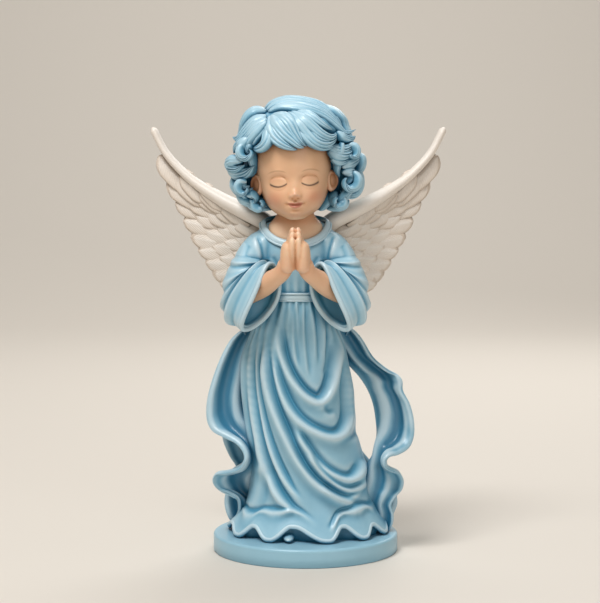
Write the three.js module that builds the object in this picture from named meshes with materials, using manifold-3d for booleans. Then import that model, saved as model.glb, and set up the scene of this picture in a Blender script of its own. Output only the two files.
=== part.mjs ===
// Praying cherub figurine in painted cast resin: a robed child angel with two wings, on a round foot.
// Millimetres, +Z up, and the figure faces -Y, so its right hand is on the -X side.
// The origin is the middle of the foot's underside.
import * as THREE from "three";
import { mergeVertices } from "three/addons/utils/BufferGeometryUtils.js";
import Module from "manifold-3d";

// Driving dimensions
const BASE_RADIUS = 51;
const BASE_HEIGHT = 10;
const BASE_ROUND = 1.2; // radius of the foot's rounded top edge
const BODY_X = -5.5; // the upper body stands this far to one side of the foot's middle
const WAIST_Z = 141;
const EYE_LINE = 205.5; // height of the closed eyes, just under half way up the head
const CLOTH = 2.6; // thickness of the free cloth
const HEM_WAVES = 9;
const HEM_PHASE = THREE.MathUtils.degToRad(10);
const HEM_LIFT = 8; // height of the hem's arches above the foot
const SKIRT_SIDES = 32;
const SKIRT_CROWD = 0.5;
const WING_X = -4; // the wings mirror each other about this plane
const WING_BACK = 12; // how far behind the origin the wings leave the back
const WING_LEAN = 0.3; // how fast the wings run back as they run out
const FIT_GAP = 0.3; // clearance between a wing and the back it is glued to

const wasm = await Module();
wasm.setup();

const { lerp, smoothstep, clamp } = THREE.MathUtils;
const vector = ([x, y, z]) => new THREE.Vector3(x, y, z);
const curve = (points) => new THREE.CatmullRomCurve3(points.map(vector), false, "centripetal");
const range = (n) => Array.from({ length: n }, (_, i) => i);
// A line given as X, Z and depth, in the order X, Y and Z
const fromFront = (line) => line.map(([x, z, y]) => [x, y, z]);

// Solids

// A closed three.js geometry as a manifold solid, facing out.
function solid(geometry) {
  const bare = new THREE.BufferGeometry();
  bare.setAttribute("position", geometry.getAttribute("position"));
  bare.setIndex(geometry.index);
  const merged = mergeVertices(bare, 1e-4);
  const vertProperties = new Float32Array(merged.getAttribute("position").array);
  const triVerts = new Uint32Array(merged.index.array);
  const made = new wasm.Manifold(new wasm.Mesh({ numProp: 3, vertProperties, triVerts }));
  if (made.volume() > 0) return made;
  return new wasm.Manifold(new wasm.Mesh({ numProp: 3, vertProperties, triVerts: triVerts.reverse() }));
}

const union = (solids) => solids.reduce((whole, piece) => whole.add(piece));

// A manifold solid back as a three.js geometry.
function geometryOf(made) {
  const { vertProperties, triVerts } = made.getMesh();
  const geometry = new THREE.BufferGeometry();
  geometry.setAttribute("position", new THREE.BufferAttribute(vertProperties, 3));
  geometry.setIndex(new THREE.BufferAttribute(triVerts, 1));
  geometry.computeVertexNormals();
  return geometry;
}

// A closed skin over rings that have the same number of points, with a fan over each end.
function skin(rings) {
  const sides = rings[0].length;
  const middle = (ring) => ring.reduce((sum, p) => sum.add(p), new THREE.Vector3()).divideScalar(sides);
  const points = [...rings.flat(), middle(rings[0]), middle(rings.at(-1))];
  const top = points.length - 2;
  const bottom = points.length - 1;
  const index = [];
  for (const i of range(sides)) {
    const next = (i + 1) % sides;
    for (const r of range(rings.length - 1)) {
      const [a, b, c, d] = [r * sides + i, r * sides + next, (r + 1) * sides + i, (r + 1) * sides + next];
      index.push(a, c, d, a, d, b);
    }
    const last = (rings.length - 1) * sides;
    index.push(top, i, next, bottom, last + next, last + i);
  }
  const geometry = new THREE.BufferGeometry().setFromPoints(points);
  geometry.setIndex(index);
  return solid(geometry);
}

// A round bar along a curve, whose radius is a function of the share of the way along it.
function bar(path, radius, steps, sides) {
  const frames = path.computeFrenetFrames(steps);
  return skin(
    range(steps + 1).map((i) =>
      range(sides).map((j) => {
        const angle = (2 * Math.PI * j) / sides;
        const r = radius(i / steps);
        return path
          .getPointAt(i / steps)
          .addScaledVector(frames.normals[i], r * Math.cos(angle))
          .addScaledVector(frames.binormals[i], r * Math.sin(angle));
      }),
    ),
  );
}

function ellipsoid([x, y, z], [rx, ry, rz]) {
  const geometry = new THREE.SphereGeometry(1, 6, 4);
  geometry.rotateX(Math.PI / 2).scale(rx, ry, rz).translate(x, y, z);
  return solid(geometry);
}

// The row at one height of a table whose rows start with their height, from the highest down.
function rowAt(table, height) {
  const i = clamp(table.findIndex((row) => row[0] <= height), 1, table.length - 1);
  const [upper, lower] = [table[i - 1], table[i]];
  const share = clamp((upper[0] - height) / (upper[0] - lower[0]), 0, 1);
  return upper.slice(1).map((value, k) => lerp(value, lower[k + 1], share));
}

// The angle of a ring's point from the front. With a crowd, the points stand closer at the front.
function angleOf(i, sides, crowd) {
  const even = (2 * Math.PI * i) / sides;
  return even - crowd * Math.sin(even);
}

// An egg-shaped ring: the X of its middle, half its width, its reach to the front and to the back.
function ring(height, [middle, width, front, back], sides, swell = () => 0, crowd = 0) {
  return range(sides).map((i) => {
    const angle = angleOf(i, sides, crowd);
    const [across, forward] = [Math.sin(angle), Math.cos(angle)];
    const grow = swell(angle);
    const reach = forward > 0 ? front : back;
    return new THREE.Vector3(middle + (width + grow) * across, -(reach + grow) * forward, height);
  });
}

// The skirt: its folds are strokes drawn on its front, each a line in X and Z with a rise and a width.
const SKIRT = [
  [150, -5, 16, 13, 12],
  [WAIST_Z, -5, 17, 15, 13],
  [122, -5.5, 23.5, 19, 19],
  [107, -5.5, 27, 22, 23],
  [90, -4.5, 28.5, 24, 26],
  [75, -3.5, 28.5, 26, 28],
  [60, -1.5, 29.5, 27.5, 30],
  [45, 1.5, 31.5, 29, 32],
  [33, 2, 34.5, 31, 34],
  [24, 2, 38, 32.5, 37],
  [17, 1, 41.5, 34, 39],
];
const STROKES = [
  { rise: 3.5, width: 3.4, line: [[-15, 134], [-14, 116], [-6, 99], [5, 88], [11.5, 93], [15, 122]] },
  { rise: -3.2, width: 5, line: [[-6, 118], [-3, 106], [4, 96.5], [8, 104], [9, 116]] },
  { rise: 3.5, width: 3.4, line: [[-16, 100], [-11, 88], [-0.5, 73.5], [13, 66], [20, 72], [23, 91]] },
  { rise: -2.4, width: 3, line: [[-10, 99], [-2, 85], [8, 77], [15, 78], [19, 90]] },
  { rise: 2.6, width: 2.6, line: [[-0.5, 50], [6.5, 47], [16, 43], [21, 42], [27, 43.5], [30, 48]] },
  { rise: 2.3, width: 2.4, line: [[6.5, 42], [11.5, 38.5], [22, 36], [30, 41]] },
  { rise: 4.3, width: 4, line: [[-19.5, 118], [-18, 98], [-12.8, 78], [-1.6, 53], [11, 36.5], [26, 27.5]] },
  { rise: -3.2, width: 3, line: [[-17, 104], [-10.8, 80], [-3, 64], [3, 52], [12, 44]] },
  { rise: 3.8, width: 4, line: [[-27, 95], [-26, 65], [-21.5, 44], [-9, 30], [7.5, 18]] },
  { rise: -3.8, width: 4.5, line: [[-22, 95], [-18, 68], [-10, 47], [1, 32], [12, 26]] },
  { rise: 2.7, width: 2.8, line: [[-24, 48], [-26, 36], [-33, 27], [-36, 22]] },
].map((stroke) => ({ ...stroke, points: curve(stroke.line.map(([x, z]) => [x, 0, z])).getPoints(30) }));

function foldAt(x, z) {
  const here = new THREE.Vector3(x, 0, z);
  return STROKES.reduce((sum, { rise, width, points }) => {
    const away = Math.min(...points.map((p) => p.distanceTo(here)));
    return sum + rise * Math.exp(-((away / width) ** 2));
  }, 0);
}

function skirtRing(height) {
  const row = rowAt(SKIRT, height);
  const [middle, width] = row;
  const gather = 1.1 * smoothstep(height, 95, WAIST_Z - 6);
  const flute = 1.7 * (1 - smoothstep(height, 100, WAIST_Z));
  const swell = (angle) => {
    const front = smoothstep(Math.cos(angle), -0.1, 0.35);
    const x = middle + width * Math.sin(angle);
    const rear = flute * Math.cos(7 * angle);
    return front * (foldAt(x, height) + gather * Math.cos(14 * angle)) + (1 - front) * rear;
  };
  return ring(height, row, SKIRT_SIDES, swell, SKIRT_CROWD);
}

// The hem runs in arches whose rim is a thickness of cloth, open underneath as far as hollow.
function hemRing({ inward, drop, floor = 0 }) {
  const arch = (angle) => 0.5 + 0.5 * Math.cos(HEM_WAVES * (angle + HEM_PHASE));
  const swell = (angle) => 1 - 2.2 * arch(angle) - inward;
  return ring(0, SKIRT.at(-1).slice(1), SKIRT_SIDES, swell, SKIRT_CROWD).map((p, i) => {
    p.z = floor || BASE_HEIGHT + CLOTH - drop + HEM_LIFT * arch(angleOf(i, SKIRT_SIDES, SKIRT_CROWD));
    return p;
  });
}

function skirt() {
  const heights = [146, 131, 117, 105, 95, 86, 78, 71, 64, 57, 51, 45, 39, 34, 29, 24];
  return skin([
    ...heights.map(skirtRing),
    hemRing({ inward: 0, drop: 0 }),
    hemRing({ inward: 0.3, drop: CLOTH - 0.2 }),
    hemRing({ inward: 6, drop: CLOTH - 0.2 }),
    hemRing({ inward: 6.5, drop: 0, floor: BASE_HEIGHT }),
  ]);
}

// The bodice, its belt and the round band at its neck
const BODICE = [
  [186, BODY_X, 8, 7, 9],
  [183, BODY_X, 14.5, 8.5, 12],
  [179.5, BODY_X, 20.5, 10.5, 14],
  [172, BODY_X, 27, 14, 16.5],
  [166, BODY_X, 28, 16, 17],
  [158, BODY_X, 24, 17.5, 16],
  [148, BODY_X, 18.5, 16, 14],
  [137, -5, 17, 14, 13],
];

function bodice() {
  const shell = skin(BODICE.map(([z, ...row]) => ring(z, row, 12)));
  const belt = skin([145, 144, 140, 139].map((z, i) => {
    const [middle, width, front, back] = rowAt(BODICE, z);
    const proud = i % 3 ? 1.8 : 0.4;
    return ring(z, [middle, width + proud, front + proud, back + proud], 12);
  }));
  const neckline = new THREE.CatmullRomCurve3(
    range(16).map((i) => {
      const angle = (2 * Math.PI * i) / 16;
      const forward = Math.cos(angle);
      const drop = forward > 0 ? 15 : 3;
      const across = 17.5 * Math.sin(angle);
      return new THREE.Vector3(BODY_X + across, -0.5 - 14.7 * forward, 182 - drop * forward);
    }),
    true,
  );
  const band = new THREE.Shape().absarc(0, 0, 2.1, 0, 2 * Math.PI);
  const round = { extrudePath: neckline, steps: 12, curveSegments: 2, bevelEnabled: false };
  const collar = solid(new THREE.ExtrudeGeometry(band, round));
  return union([shell, belt, collar]);
}

// A bell sleeve: ovals from the shoulder round the elbow to the cuff, then back in for its hollow.
// Each has its middle, the half axis to its front and the half axis to its elbow side.
const SLEEVE = [
  [[-19, 0, 171], [0, -12, 0], [-7, 0, 6]],
  [[-27, -2, 163], [0, -13, 0], [-11.5, 0, 3.5]],
  [[-32.5, -6, 153], [-2, -13, 1], [-13, 2, -2]],
  [[-34, -11, 145], [-4, -12, 2], [-12.5, 3, -11]],
  [[-31, -18, 141], [-6, -9, 2.5], [-10.5, 3, -17.5]],
  [[-25.5, -26, 143], [-7, -6.5, 3], [-9, 0, -18.5]],
];
const CUFF_INSIDE = [
  { shrink: 0.84, at: [-25.3, -26.2, 143] },
  { shrink: 0.78, at: [-28, -21, 142.5] },
  { shrink: 0.6, at: [-31, -16, 143.5] },
];

function oval(at, front, elbow, shrink = 1, pleat = 0) {
  return range(12).map((i) => {
    const angle = (2 * Math.PI * i) / 12;
    const size = shrink + pleat * Math.cos(5 * angle);
    return vector(at)
      .addScaledVector(vector(front), size * Math.cos(angle))
      .addScaledVector(vector(elbow), size * Math.sin(angle));
  });
}

function sleeve() {
  const middles = curve(SLEEVE.map(([at]) => at));
  const fronts = curve(SLEEVE.map(([, front]) => front));
  const elbows = curve(SLEEVE.map(([, , elbow]) => elbow));
  const outside = range(7).map((i) => {
    const t = i / 6;
    const [at, front, elbow] = [middles, fronts, elbows].map((c) => c.getPoint(t).toArray());
    return oval(at, front, elbow, 1, 0.06 * smoothstep(t, 0.3, 0.9));
  });
  const [, front, elbow] = SLEEVE.at(-1);
  return skin([...outside, ...CUFF_INSIDE.map(({ shrink, at }) => oval(at, front, elbow, shrink))]);
}

// A hand laid flat against the other hand at the plane x = BODY_X, its four fingers from front to back
const FINGERS = { front: -46.3, apart: 3.4, tops: [175.5, 180, 181.5, 180] };
const HAND_FOOT_Z = 156;
const HAND = [
  [0, 7],
  [0.25, 9.4],
  [0.5, 8.4],
  [0.7, 5.8],
  [0.88, 3.6],
  [1, 1.6],
];

function hand() {
  const { front, apart, tops } = FINGERS;
  return skin(
    HAND.map(([share, thick]) => {
      const place = (k, out, top) =>
        new THREE.Vector3(BODY_X - out, front + (apart * k) / 2, lerp(HAND_FOOT_Z, top, share));
      const back = range(9).map((k) => {
        const between = Math.min(tops[Math.max(0, k / 2 - 1)] ?? 0, tops[Math.min(3, k / 2)] ?? 0) - 1;
        const top = k % 2 ? tops[(k - 1) / 2] : between;
        const groove = k % 2 ? 1 : lerp(1, 0.75, smoothstep(share, 0.2, 0.7));
        return place(k, thick * (k % 8 ? groove : 0.5), top);
      });
      return [...back, place(7.5, -0.05, tops[3] - 0.5), place(1, -0.05, tops[0] - 0.5)];
    }),
  );
}

function arm() {
  const forearm = curve([[-34, -13, 139], [-26, -23, 146], [-18.5, -31, 152.5], [-11.5, -37, 159]]);
  return union([bar(forearm, (t) => 7.4 - 2.2 * t ** 2, 4, 8), hand()]);
}

// The head, face and neck, on a child's proportions: the eyes just under half way up, a small nose and chin
const SKULL = [
  [243, BODY_X, 5, 5, 4],
  [239.5, BODY_X, 13, 14, 12],
  [232, BODY_X, 19.5, 21.5, 20],
  [223, BODY_X, 23, 26, 23],
  [213, BODY_X, 23.6, 27, 24],
  [205, BODY_X, 22.6, 25.8, 22],
  [198, BODY_X, 20.8, 26.4, 19],
  [192, BODY_X, 17, 26.2, 14],
  [187, BODY_X, 11.5, 24.8, 9],
  [183.5, BODY_X, 5, 22, 0],
];

function head() {
  const lump = ([side, y, up], size) => ellipsoid([BODY_X + side, y, EYE_LINE + up], size);
  const nose = lump([0, -27.4, -8], [2.7, 3, 2.6]);
  const lips = lump([0, -25, -14.7], [4.6, 2.4, 1.7]);
  const eyes = [-8.8, 8.8].map((side) => lump([side, -22.4, 0], [5, 3.2, 3.4]));
  const ears = [-21.8, 21.8].map((side) => lump([side, -5, -1.5], [3, 4, 6]));
  const nape = curve([[BODY_X, 2, 168], [BODY_X, 1, 180], [BODY_X, 0, 190]]);
  const neck = bar(nape, (t) => 12.5 - 3.5 * smoothstep(t, 0, 0.6), 3, 10);
  const skull = skin(SKULL.map(([height, ...row]) => ring(height, row, 14, () => 0, 0.35)));
  return union([skull, nose, lips, ...eyes, ...ears, neck]);
}

// Hair: a mass over the skull and the neck, and locks that lie on it.
// A front lock's line is in X and Z, and lies on the front of the mass.
const HAIR_MIDDLE = [BODY_X, 2, 217];
const HAIR = [
  [249.3, BODY_X, 7, 6, 8],
  [242, BODY_X, 21, 19.5, 21.5],
  [231, BODY_X, 29, 26, 29.5],
  [219, BODY_X, 31.5, 18, 32],
  [207, BODY_X, 33, 8, 32],
  [196, BODY_X, 30, 5, 28],
  [188, BODY_X, 18, 1, 19],
];
const FRONT_LOCKS = [
  { thick: 5.4, line: [[-21.5, 239.5], [-17, 231], [-11, 224], [-5, 220.5], [1, 221]] },
  { thick: 5, line: [[-21, 238], [-21, 231], [-18, 225], [-12, 221]] },
  { thick: 5.2, line: [[-14, 241], [-7.5, 237], [-4.5, 229], [0, 222], [4, 222]] },
  { thick: 5.4, line: [[-9.5, 243], [0, 239], [4, 229], [11, 224], [17, 227]] },
  { thick: 5.2, line: [[-8.5, 245], [4, 242], [14, 235], [18.5, 229], [16, 224]] },
  { thick: 5, line: [[-22, 238.5], [-26, 235], [-29, 231], [-32, 227], [-36, 225]] },
  { thick: 4.8, line: [[-21.5, 238], [-25, 232], [-27.5, 226], [-28, 221], [-25, 219]] },
];
const CURLS = [
  { thick: 5.4, line: [[-8.8, 246.5, -6], [3.4, 246, -6], [14.7, 240, -7], [26.9, 233, -9]] },
  { thick: 5.1, line: [[-29, 231, -12], [-34.6, 226, -11], [-35.6, 219, -12], [-31.3, 216, -15]] },
  { thick: 5.4, line: [[-36, 224, -6], [-38.9, 217, -5], [-39.8, 209, -5], [-33, 205, -11]] },
  { thick: 5.1, line: [[-36, 206, -2], [-38.4, 200, -3], [-36, 193.5, -5], [-30.9, 192, -8]] },
  { thick: 5.1, line: [[-31.3, 203, -10], [-33.7, 196, -9], [-29.5, 190.5, -8], [-23.8, 190, -10]] },
  { thick: 5.1, line: [[-35.1, 193, 3], [-29.5, 188.5, 0], [-18.2, 187.5, -5]] },
  { thick: 5.1, line: [[20.3, 231, -12], [24.1, 225, -11], [23.2, 220, -14], [18.5, 218, -17]] },
  { thick: 5.4, line: [[21.3, 219, -8], [26.9, 217, -6], [29.8, 212, -6], [25.5, 204, -9], [21, 200, -10]] },
  { thick: 5.4, line: [[24.1, 209, -3], [28.8, 204, -3], [27.9, 196.5, -5], [22.2, 194.5, -8]] },
  { thick: 5.1, line: [[23.2, 201, 0], [20.8, 194, -4], [14.7, 189.5, -7], [9.1, 187.5, -8]] },
];

function onHair([x, z]) {
  const [middle, width, front] = rowAt(HAIR, z);
  return [x, -Math.max(front, 26) * Math.sqrt(Math.max(0, 1 - ((x - middle) / width) ** 2)), z];
}

// The mass of the hair, from the crown down to the nape, with a relief of locks that sway as they fall
function hairMass() {
  return skin(
    HAIR.map(([height, ...row], i) => {
      const sway = 0.14 * Math.sin(1.9 * i);
      const swell = (angle) => Math.min(2.2, i) * Math.cos(8 * angle + Math.PI * (i >> 1));
      return ring(height, row, 16, swell).map((p) => {
        const [x, y] = [p.x - BODY_X, p.y];
        return new THREE.Vector3(BODY_X + x - sway * y, y + sway * x, p.z);
      });
    }),
  );
}

// A lock is three-sided, with one edge of it for a crest that faces away from the mass.
function lock({ thick, line }) {
  const path = curve(line);
  return skin(
    range(5).map((i) => {
      const t = i / 4;
      const middle = path.getPoint(t);
      const out = middle.clone().sub(vector(HAIR_MIDDLE)).normalize();
      const side = path.getTangent(t).cross(out).normalize();
      const half = thick * (0.3 + 0.7 * Math.sin(Math.PI * (0.12 + 0.8 * t)));
      return [
        middle.clone().addScaledVector(side, half).addScaledVector(out, -0.4 * half),
        middle.clone().addScaledVector(out, 0.75 * half),
        middle.clone().addScaledVector(side, -half).addScaledVector(out, -0.4 * half),
      ];
    }),
  );
}

function hair() {
  const fronts = FRONT_LOCKS.map((front) => ({ ...front, line: front.line.map(onHair) }));
  const curls = CURLS.map((curl) => ({ ...curl, line: fromFront(curl.line) }));
  const locks = [...fronts, ...curls].map(lock);
  return union([hairMass(), ...locks]);
}

// A hanging panel of cloth between two edges, from the top down, with lengthwise pleats.
function panel({ outer, inner, pleats, steps, across = 3 }) {
  const [outside, inside] = [curve(fromFront(outer)), curve(fromFront(inner))];
  const surface = (t, u) => {
    const point = inside.getPoint(t).lerp(outside.getPoint(t), u);
    point.y += 2.5 * Math.sin(Math.PI * u) * Math.cos(2 * Math.PI * pleats * u + 5 * t);
    return point;
  };
  return skin(
    range(steps + 1).map((i) => {
      const t = i / steps;
      const front = range(across + 1).map((j) => surface(t, j / across));
      const faces = front.map((p, j) => {
        const [before, after] = [Math.max(0, t - 0.02), Math.min(1, t + 0.02)];
        const along = surface(after, j / across).sub(surface(before, j / across));
        const side = front[Math.min(across, j + 1)].clone().sub(front[Math.max(0, j - 1)]);
        return along.cross(side).setZ(0).normalize().multiplyScalar(CLOTH / 2);
      });
      const near = front.map((p, j) => p.clone().add(faces[j]));
      const far = front.map((p, j) => p.clone().sub(faces[j])).reverse();
      return [...near, ...far];
    }),
  );
}

const RIGHT_MANTLE = {
  steps: 12,
  across: 4,
  pleats: 1.5,
  outer: [[-35, 126, 5], [-46, 108, 3], [-53, 95, 1], [-55.3, 83, -1], [-53, 73, -3], [-45, 65.5, -8],
    [-34.5, 58, -17], [-34.5, 49.5, -18], [-42, 44, -12], [-51, 40, -6], [-46, 33.5, -3], [-40.5, 28, 0],
    [-42.5, 20, 2], [-39, BASE_HEIGHT, 3]],
  inner: [[-20, 126, 10], [-22, 108, 11], [-24, 95, 12], [-24, 84, 12], [-24, 75, 11], [-23, 66, 9],
    [-22, 58, 6], [-22, 51, 4], [-22, 45, 4], [-23, 39, 5], [-24, 33, 6], [-25, 27, 7],
    [-26, 19, 8], [-26, BASE_HEIGHT, 8]],
};
const LEFT_MANTLE = {
  steps: 12,
  across: 4,
  pleats: 1.5,
  outer: [[22, 128, 5], [34, 114, 2], [42, 104, 0], [50, 97, -2], [54.5, 87, -5], [59, 77, -6],
    [60.3, 66, -6], [56, 58, -9], [45, 53, -16], [45.5, 46, -17], [54.5, 38, -10], [51, 28, -7],
    [48, 18, -5], [46, BASE_HEIGHT, -4]],
  inner: [[8, 126, 9], [15, 110, 10], [24.5, 101, 7], [31, 94, 5], [35.5, 86, 5], [38.5, 77, 5],
    [39, 67, 4], [38.5, 58, 2], [36.5, 50, -1], [32, 43, -4], [32, 35, -4], [32, 27, -3],
    [32, 18, 0], [32, BASE_HEIGHT, 2]],
};
const RIGHT_TRAIN = {
  steps: 8,
  pleats: 1,
  outer: [[-30, 88, 12], [-46, 72, 9], [-46.5, 60, 12], [-43, 50, 14], [-39, 42, 15], [-43, 34, 14],
    [-45.5, 25, 12], [-44, 17, 10], [-40, BASE_HEIGHT, 9]],
  inner: [[-14, 88, 18], [-16, 72, 20], [-16, 60, 20], [-18, 50, 20], [-18, 42, 20], [-20, 34, 20],
    [-20, 25, 20], [-20, 17, 20], [-20, BASE_HEIGHT, 20]],
};
const LEFT_TRAIN = {
  steps: 6,
  pleats: 1,
  outer: [[34, 48, 8], [42, 41, 9], [49, 33, 10], [51.5, 25, 8], [49.5, 18, 8], [46, BASE_HEIGHT, 9]],
  inner: [[18, 48, 18], [18, 41, 20], [20, 33, 20], [20, 25, 20], [20, 18, 20], [20, BASE_HEIGHT, 20]],
};
// The same cloth passes behind the waist, sagging from one elbow to the other.
const BACK_SWAG = {
  steps: 6,
  pleats: 1,
  outer: [[-37, 124, 4], [-30, 110, 14], [-18, 100, 24], [-5, 96, 27], [8, 100, 24], [19, 110, 14],
    [26, 124, 4]],
  inner: [[-35, 134, 2], [-29, 131, 11], [-18, 128, 18], [-5, 127, 19.5], [8, 128, 18], [18, 131, 11],
    [24, 134, 2]],
};

function mantle() {
  return union([RIGHT_MANTLE, LEFT_MANTLE, RIGHT_TRAIN, LEFT_TRAIN, BACK_SWAG].map(panel));
}

// What one side's pieces look like on the other side of a plane across X.
function mirrored(made, plane) {
  const geometry = geometryOf(made);
  return solid(geometry.scale(-1, 1, 1).translate(2 * plane, 0, 0));
}

// The wing on the -X side. Its feathers fan out from its root, row over row towards the front.
const WING_ARM = [[-10, 166], [-20, 181], [-34, 188.5], [-45, 193.5], [-59, 201], [-69, 208.5],
  [-79, 219.5], [-86.5, 233.5]];
const FEATHER_TIPS = [[-84, 219], [-78, 203], [-73, 189], [-68, 178.5], [-63.3, 169], [-58.5, 161],
  [-54, 153.5], [-49.5, 147], [-43.5, 140.5], [-34, 137]];
const FEATHERS_FROM = 0.55; // the first feather leaves the arm this share of the way out
// Each row of feathers is one strip with a scalloped lower edge, over the row behind it.
const FEATHER_ROWS = [
  { feathers: 8, reach: 1, notch: 0.08, front: 1.4, backing: -0.9 },
  { feathers: 5, reach: 0.72, notch: 0.12, front: 2.8, backing: 0.6 },
  { feathers: 4, reach: 0.46, notch: 0.16, front: 4.1, backing: 1.4 },
];
// Stations across one feather: it overlaps the next, so its front is highest near its first edge.
const FEATHER_STATIONS = [
  { at: 0, short: 1, rise: 1 },
  { at: 0.3, short: 0.1, rise: 1.1 },
  { at: 0.85, short: 0.25, rise: 0.1 },
];

function onWing(x, z) {
  const out = WING_X - x;
  return new THREE.Vector3(x, WING_BACK + WING_LEAN * out, z);
}

const armLine = curve(WING_ARM.map(([x, z]) => onWing(x, z).toArray()));
const tipLine = curve(FEATHER_TIPS.map(([x, z]) => onWing(x, z).toArray()));

function featherRow({ feathers, reach, notch, front, backing }) {
  const across = (k) => FEATHER_STATIONS.map((s) => ({ ...s, along: (k + s.at) / feathers }));
  const stations = [...range(feathers).flatMap(across), { along: 1, short: 1, rise: 0.5 }];
  return skin(
    stations.map(({ along, short, rise }) => {
      const root = armLine.getPoint(FEATHERS_FROM * (1 - along));
      const tip = tipLine.getPoint(along);
      const forwards = new THREE.Vector3(0, -1, 0);
      const point = (share, proud) => root.clone().lerp(tip, share).addScaledVector(forwards, proud);
      const end = reach * (1 - notch * short);
      return [
        point(0, front),
        point(0.86 * end, front + rise),
        point(end, front - 0.6),
        point(end - 0.03, backing),
        point(0, backing),
      ];
    }),
  );
}

function wing() {
  return union([bar(armLine, (t) => 0.8 + 4.6 * (1 - t ** 3), 8, 7), ...FEATHER_ROWS.map(featherRow)]);
}

// The foot is turned from its profile, from the underside up.
function base() {
  const edge = BASE_RADIUS - BASE_ROUND;
  const profile = [
    [0, 0],
    [BASE_RADIUS, 0],
    ...range(3).map((i) => {
      const angle = (Math.PI / 2) * (i / 2);
      return [edge + BASE_ROUND * Math.cos(angle), BASE_HEIGHT - BASE_ROUND + BASE_ROUND * Math.sin(angle)];
    }),
    [0, BASE_HEIGHT],
  ];
  const geometry = new THREE.LatheGeometry(profile.map(([r, z]) => new THREE.Vector2(r, z)), 36);
  return solid(geometry.rotateX(Math.PI / 2));
}

const paint = {
  robe: new THREE.MeshStandardMaterial({ color: "#8fc3dc", roughness: 0.42, metalness: 0 }),
  foot: new THREE.MeshStandardMaterial({ color: "#8fc0d8", roughness: 0.45, metalness: 0 }),
  wing: new THREE.MeshStandardMaterial({ color: "#ece4dc", roughness: 0.55, metalness: 0 }),
};

function mesh(name, made, material) {
  const piece = new THREE.Mesh(geometryOf(made), material);
  piece.name = name;
  return piece;
}

const [rightSleeve, rightArm, rightWing] = [sleeve(), arm(), wing()];
const figure = union([
  skirt(),
  bodice(),
  rightSleeve,
  mirrored(rightSleeve, BODY_X),
  rightArm,
  mirrored(rightArm, BODY_X),
  head(),
  hair(),
  mantle(),
]);

// The wings are cut where they would enter the back, then stand off it by the gap.
const cherub = new THREE.Group();
cherub.add(mesh("base", base(), paint.foot), mesh("figure", figure, paint.robe));
for (const [name, whole] of [["wing_right", rightWing], ["wing_left", mirrored(rightWing, WING_X)]]) {
  const piece = mesh(name, whole.subtract(figure), paint.wing);
  piece.position.y = FIT_GAP;
  cherub.add(piece);
}

export default cherub;
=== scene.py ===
# A praying cherub in hand-painted cast resin, on a round foot.
# The shape functions work in millimetres, in the frame of the solids: +Z up, the face towards -Y.
import math

import bpy
import numpy as np
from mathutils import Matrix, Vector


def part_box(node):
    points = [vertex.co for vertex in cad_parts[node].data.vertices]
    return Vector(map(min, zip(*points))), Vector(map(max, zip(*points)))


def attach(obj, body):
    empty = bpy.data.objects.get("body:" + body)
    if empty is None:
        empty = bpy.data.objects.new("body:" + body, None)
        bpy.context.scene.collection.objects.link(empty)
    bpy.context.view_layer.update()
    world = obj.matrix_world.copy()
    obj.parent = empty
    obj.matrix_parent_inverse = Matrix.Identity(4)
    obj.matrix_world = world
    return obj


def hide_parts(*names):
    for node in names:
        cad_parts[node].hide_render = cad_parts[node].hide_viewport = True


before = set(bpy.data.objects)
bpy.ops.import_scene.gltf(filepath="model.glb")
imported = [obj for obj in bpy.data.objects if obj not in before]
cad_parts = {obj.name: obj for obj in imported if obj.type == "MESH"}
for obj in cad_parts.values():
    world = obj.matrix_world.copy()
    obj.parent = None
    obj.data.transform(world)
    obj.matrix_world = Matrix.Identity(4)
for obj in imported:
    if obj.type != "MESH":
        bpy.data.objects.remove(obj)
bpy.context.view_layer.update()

MM = 0.001
DETAIL = 1.0  # share of the full number of rows and columns in every mesh
BODY_X = -5.5  # the upper body stands this far to one side of the foot's middle
FOOT_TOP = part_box("base")[1][2] / MM
FOOT_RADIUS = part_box("base")[1][0] / MM
UP, BACK = np.array([0, 0, 1.0]), np.array([0, 1.0, 0])


# Curves and numbers

def count(full):
    return max(4, round(full * DETAIL))


def bell(distance, width):
    return np.exp(-((distance / width) ** 2))


def step(value, low, high):
    share = np.clip((value - low) / (high - low), 0, 1)
    return share * share * (3 - 2 * share)


def unit(vectors):
    return vectors / np.maximum(np.linalg.norm(vectors, axis=-1, keepdims=True), 1e-9)


def spline(points, at):
    """Points of a smooth curve through the given ones, where at counts from one given point to the next."""
    given = np.asarray(points, float)
    padded = np.vstack([2 * given[0] - given[1], given, 2 * given[-1] - given[-2]])
    i = np.clip(np.asarray(at).astype(int), 0, len(given) - 2)
    f = (at - i)[:, None]
    a, b, c, d = (padded[i + k] for k in range(4))
    return 0.5 * (2 * b + (c - a) * f + (2 * a - 5 * b + 4 * c - d) * f**2 + (3 * b - a - 3 * c + d) * f**3)


def through(points, number):
    """Evenly spaced points of a smooth curve through the given ones."""
    fine = spline(points, np.linspace(0, len(points) - 1, 20 * len(points)))
    run = np.r_[0, np.cumsum(np.linalg.norm(np.diff(fine, axis=0), axis=1))]
    even = np.linspace(0, run[-1], number)
    return np.stack([np.interp(even, run, column) for column in fine.T], axis=1)


def row_at(table, heights):
    """The rows of a table at some heights. Each row starts with its height, from the highest down."""
    rows = np.asarray(table, float)[::-1]
    keys, values = rows[:, 0], rows[:, 1:]
    slopes = np.gradient(values, keys, axis=0)
    heights = np.clip(heights, keys[0], keys[-1])
    i = np.clip(np.searchsorted(keys, heights) - 1, 0, len(keys) - 2)
    gap = (keys[i + 1] - keys[i])[..., None]
    t = (heights[..., None] - keys[i][..., None]) / gap
    low, high = values[i], values[i + 1]
    return (
        (1 + 2 * t) * (1 - t) ** 2 * low
        + t * (1 - t) ** 2 * gap * slopes[i]
        + t**2 * (3 - 2 * t) * high
        - t**2 * (1 - t) * gap * slopes[i + 1]
    )


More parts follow.
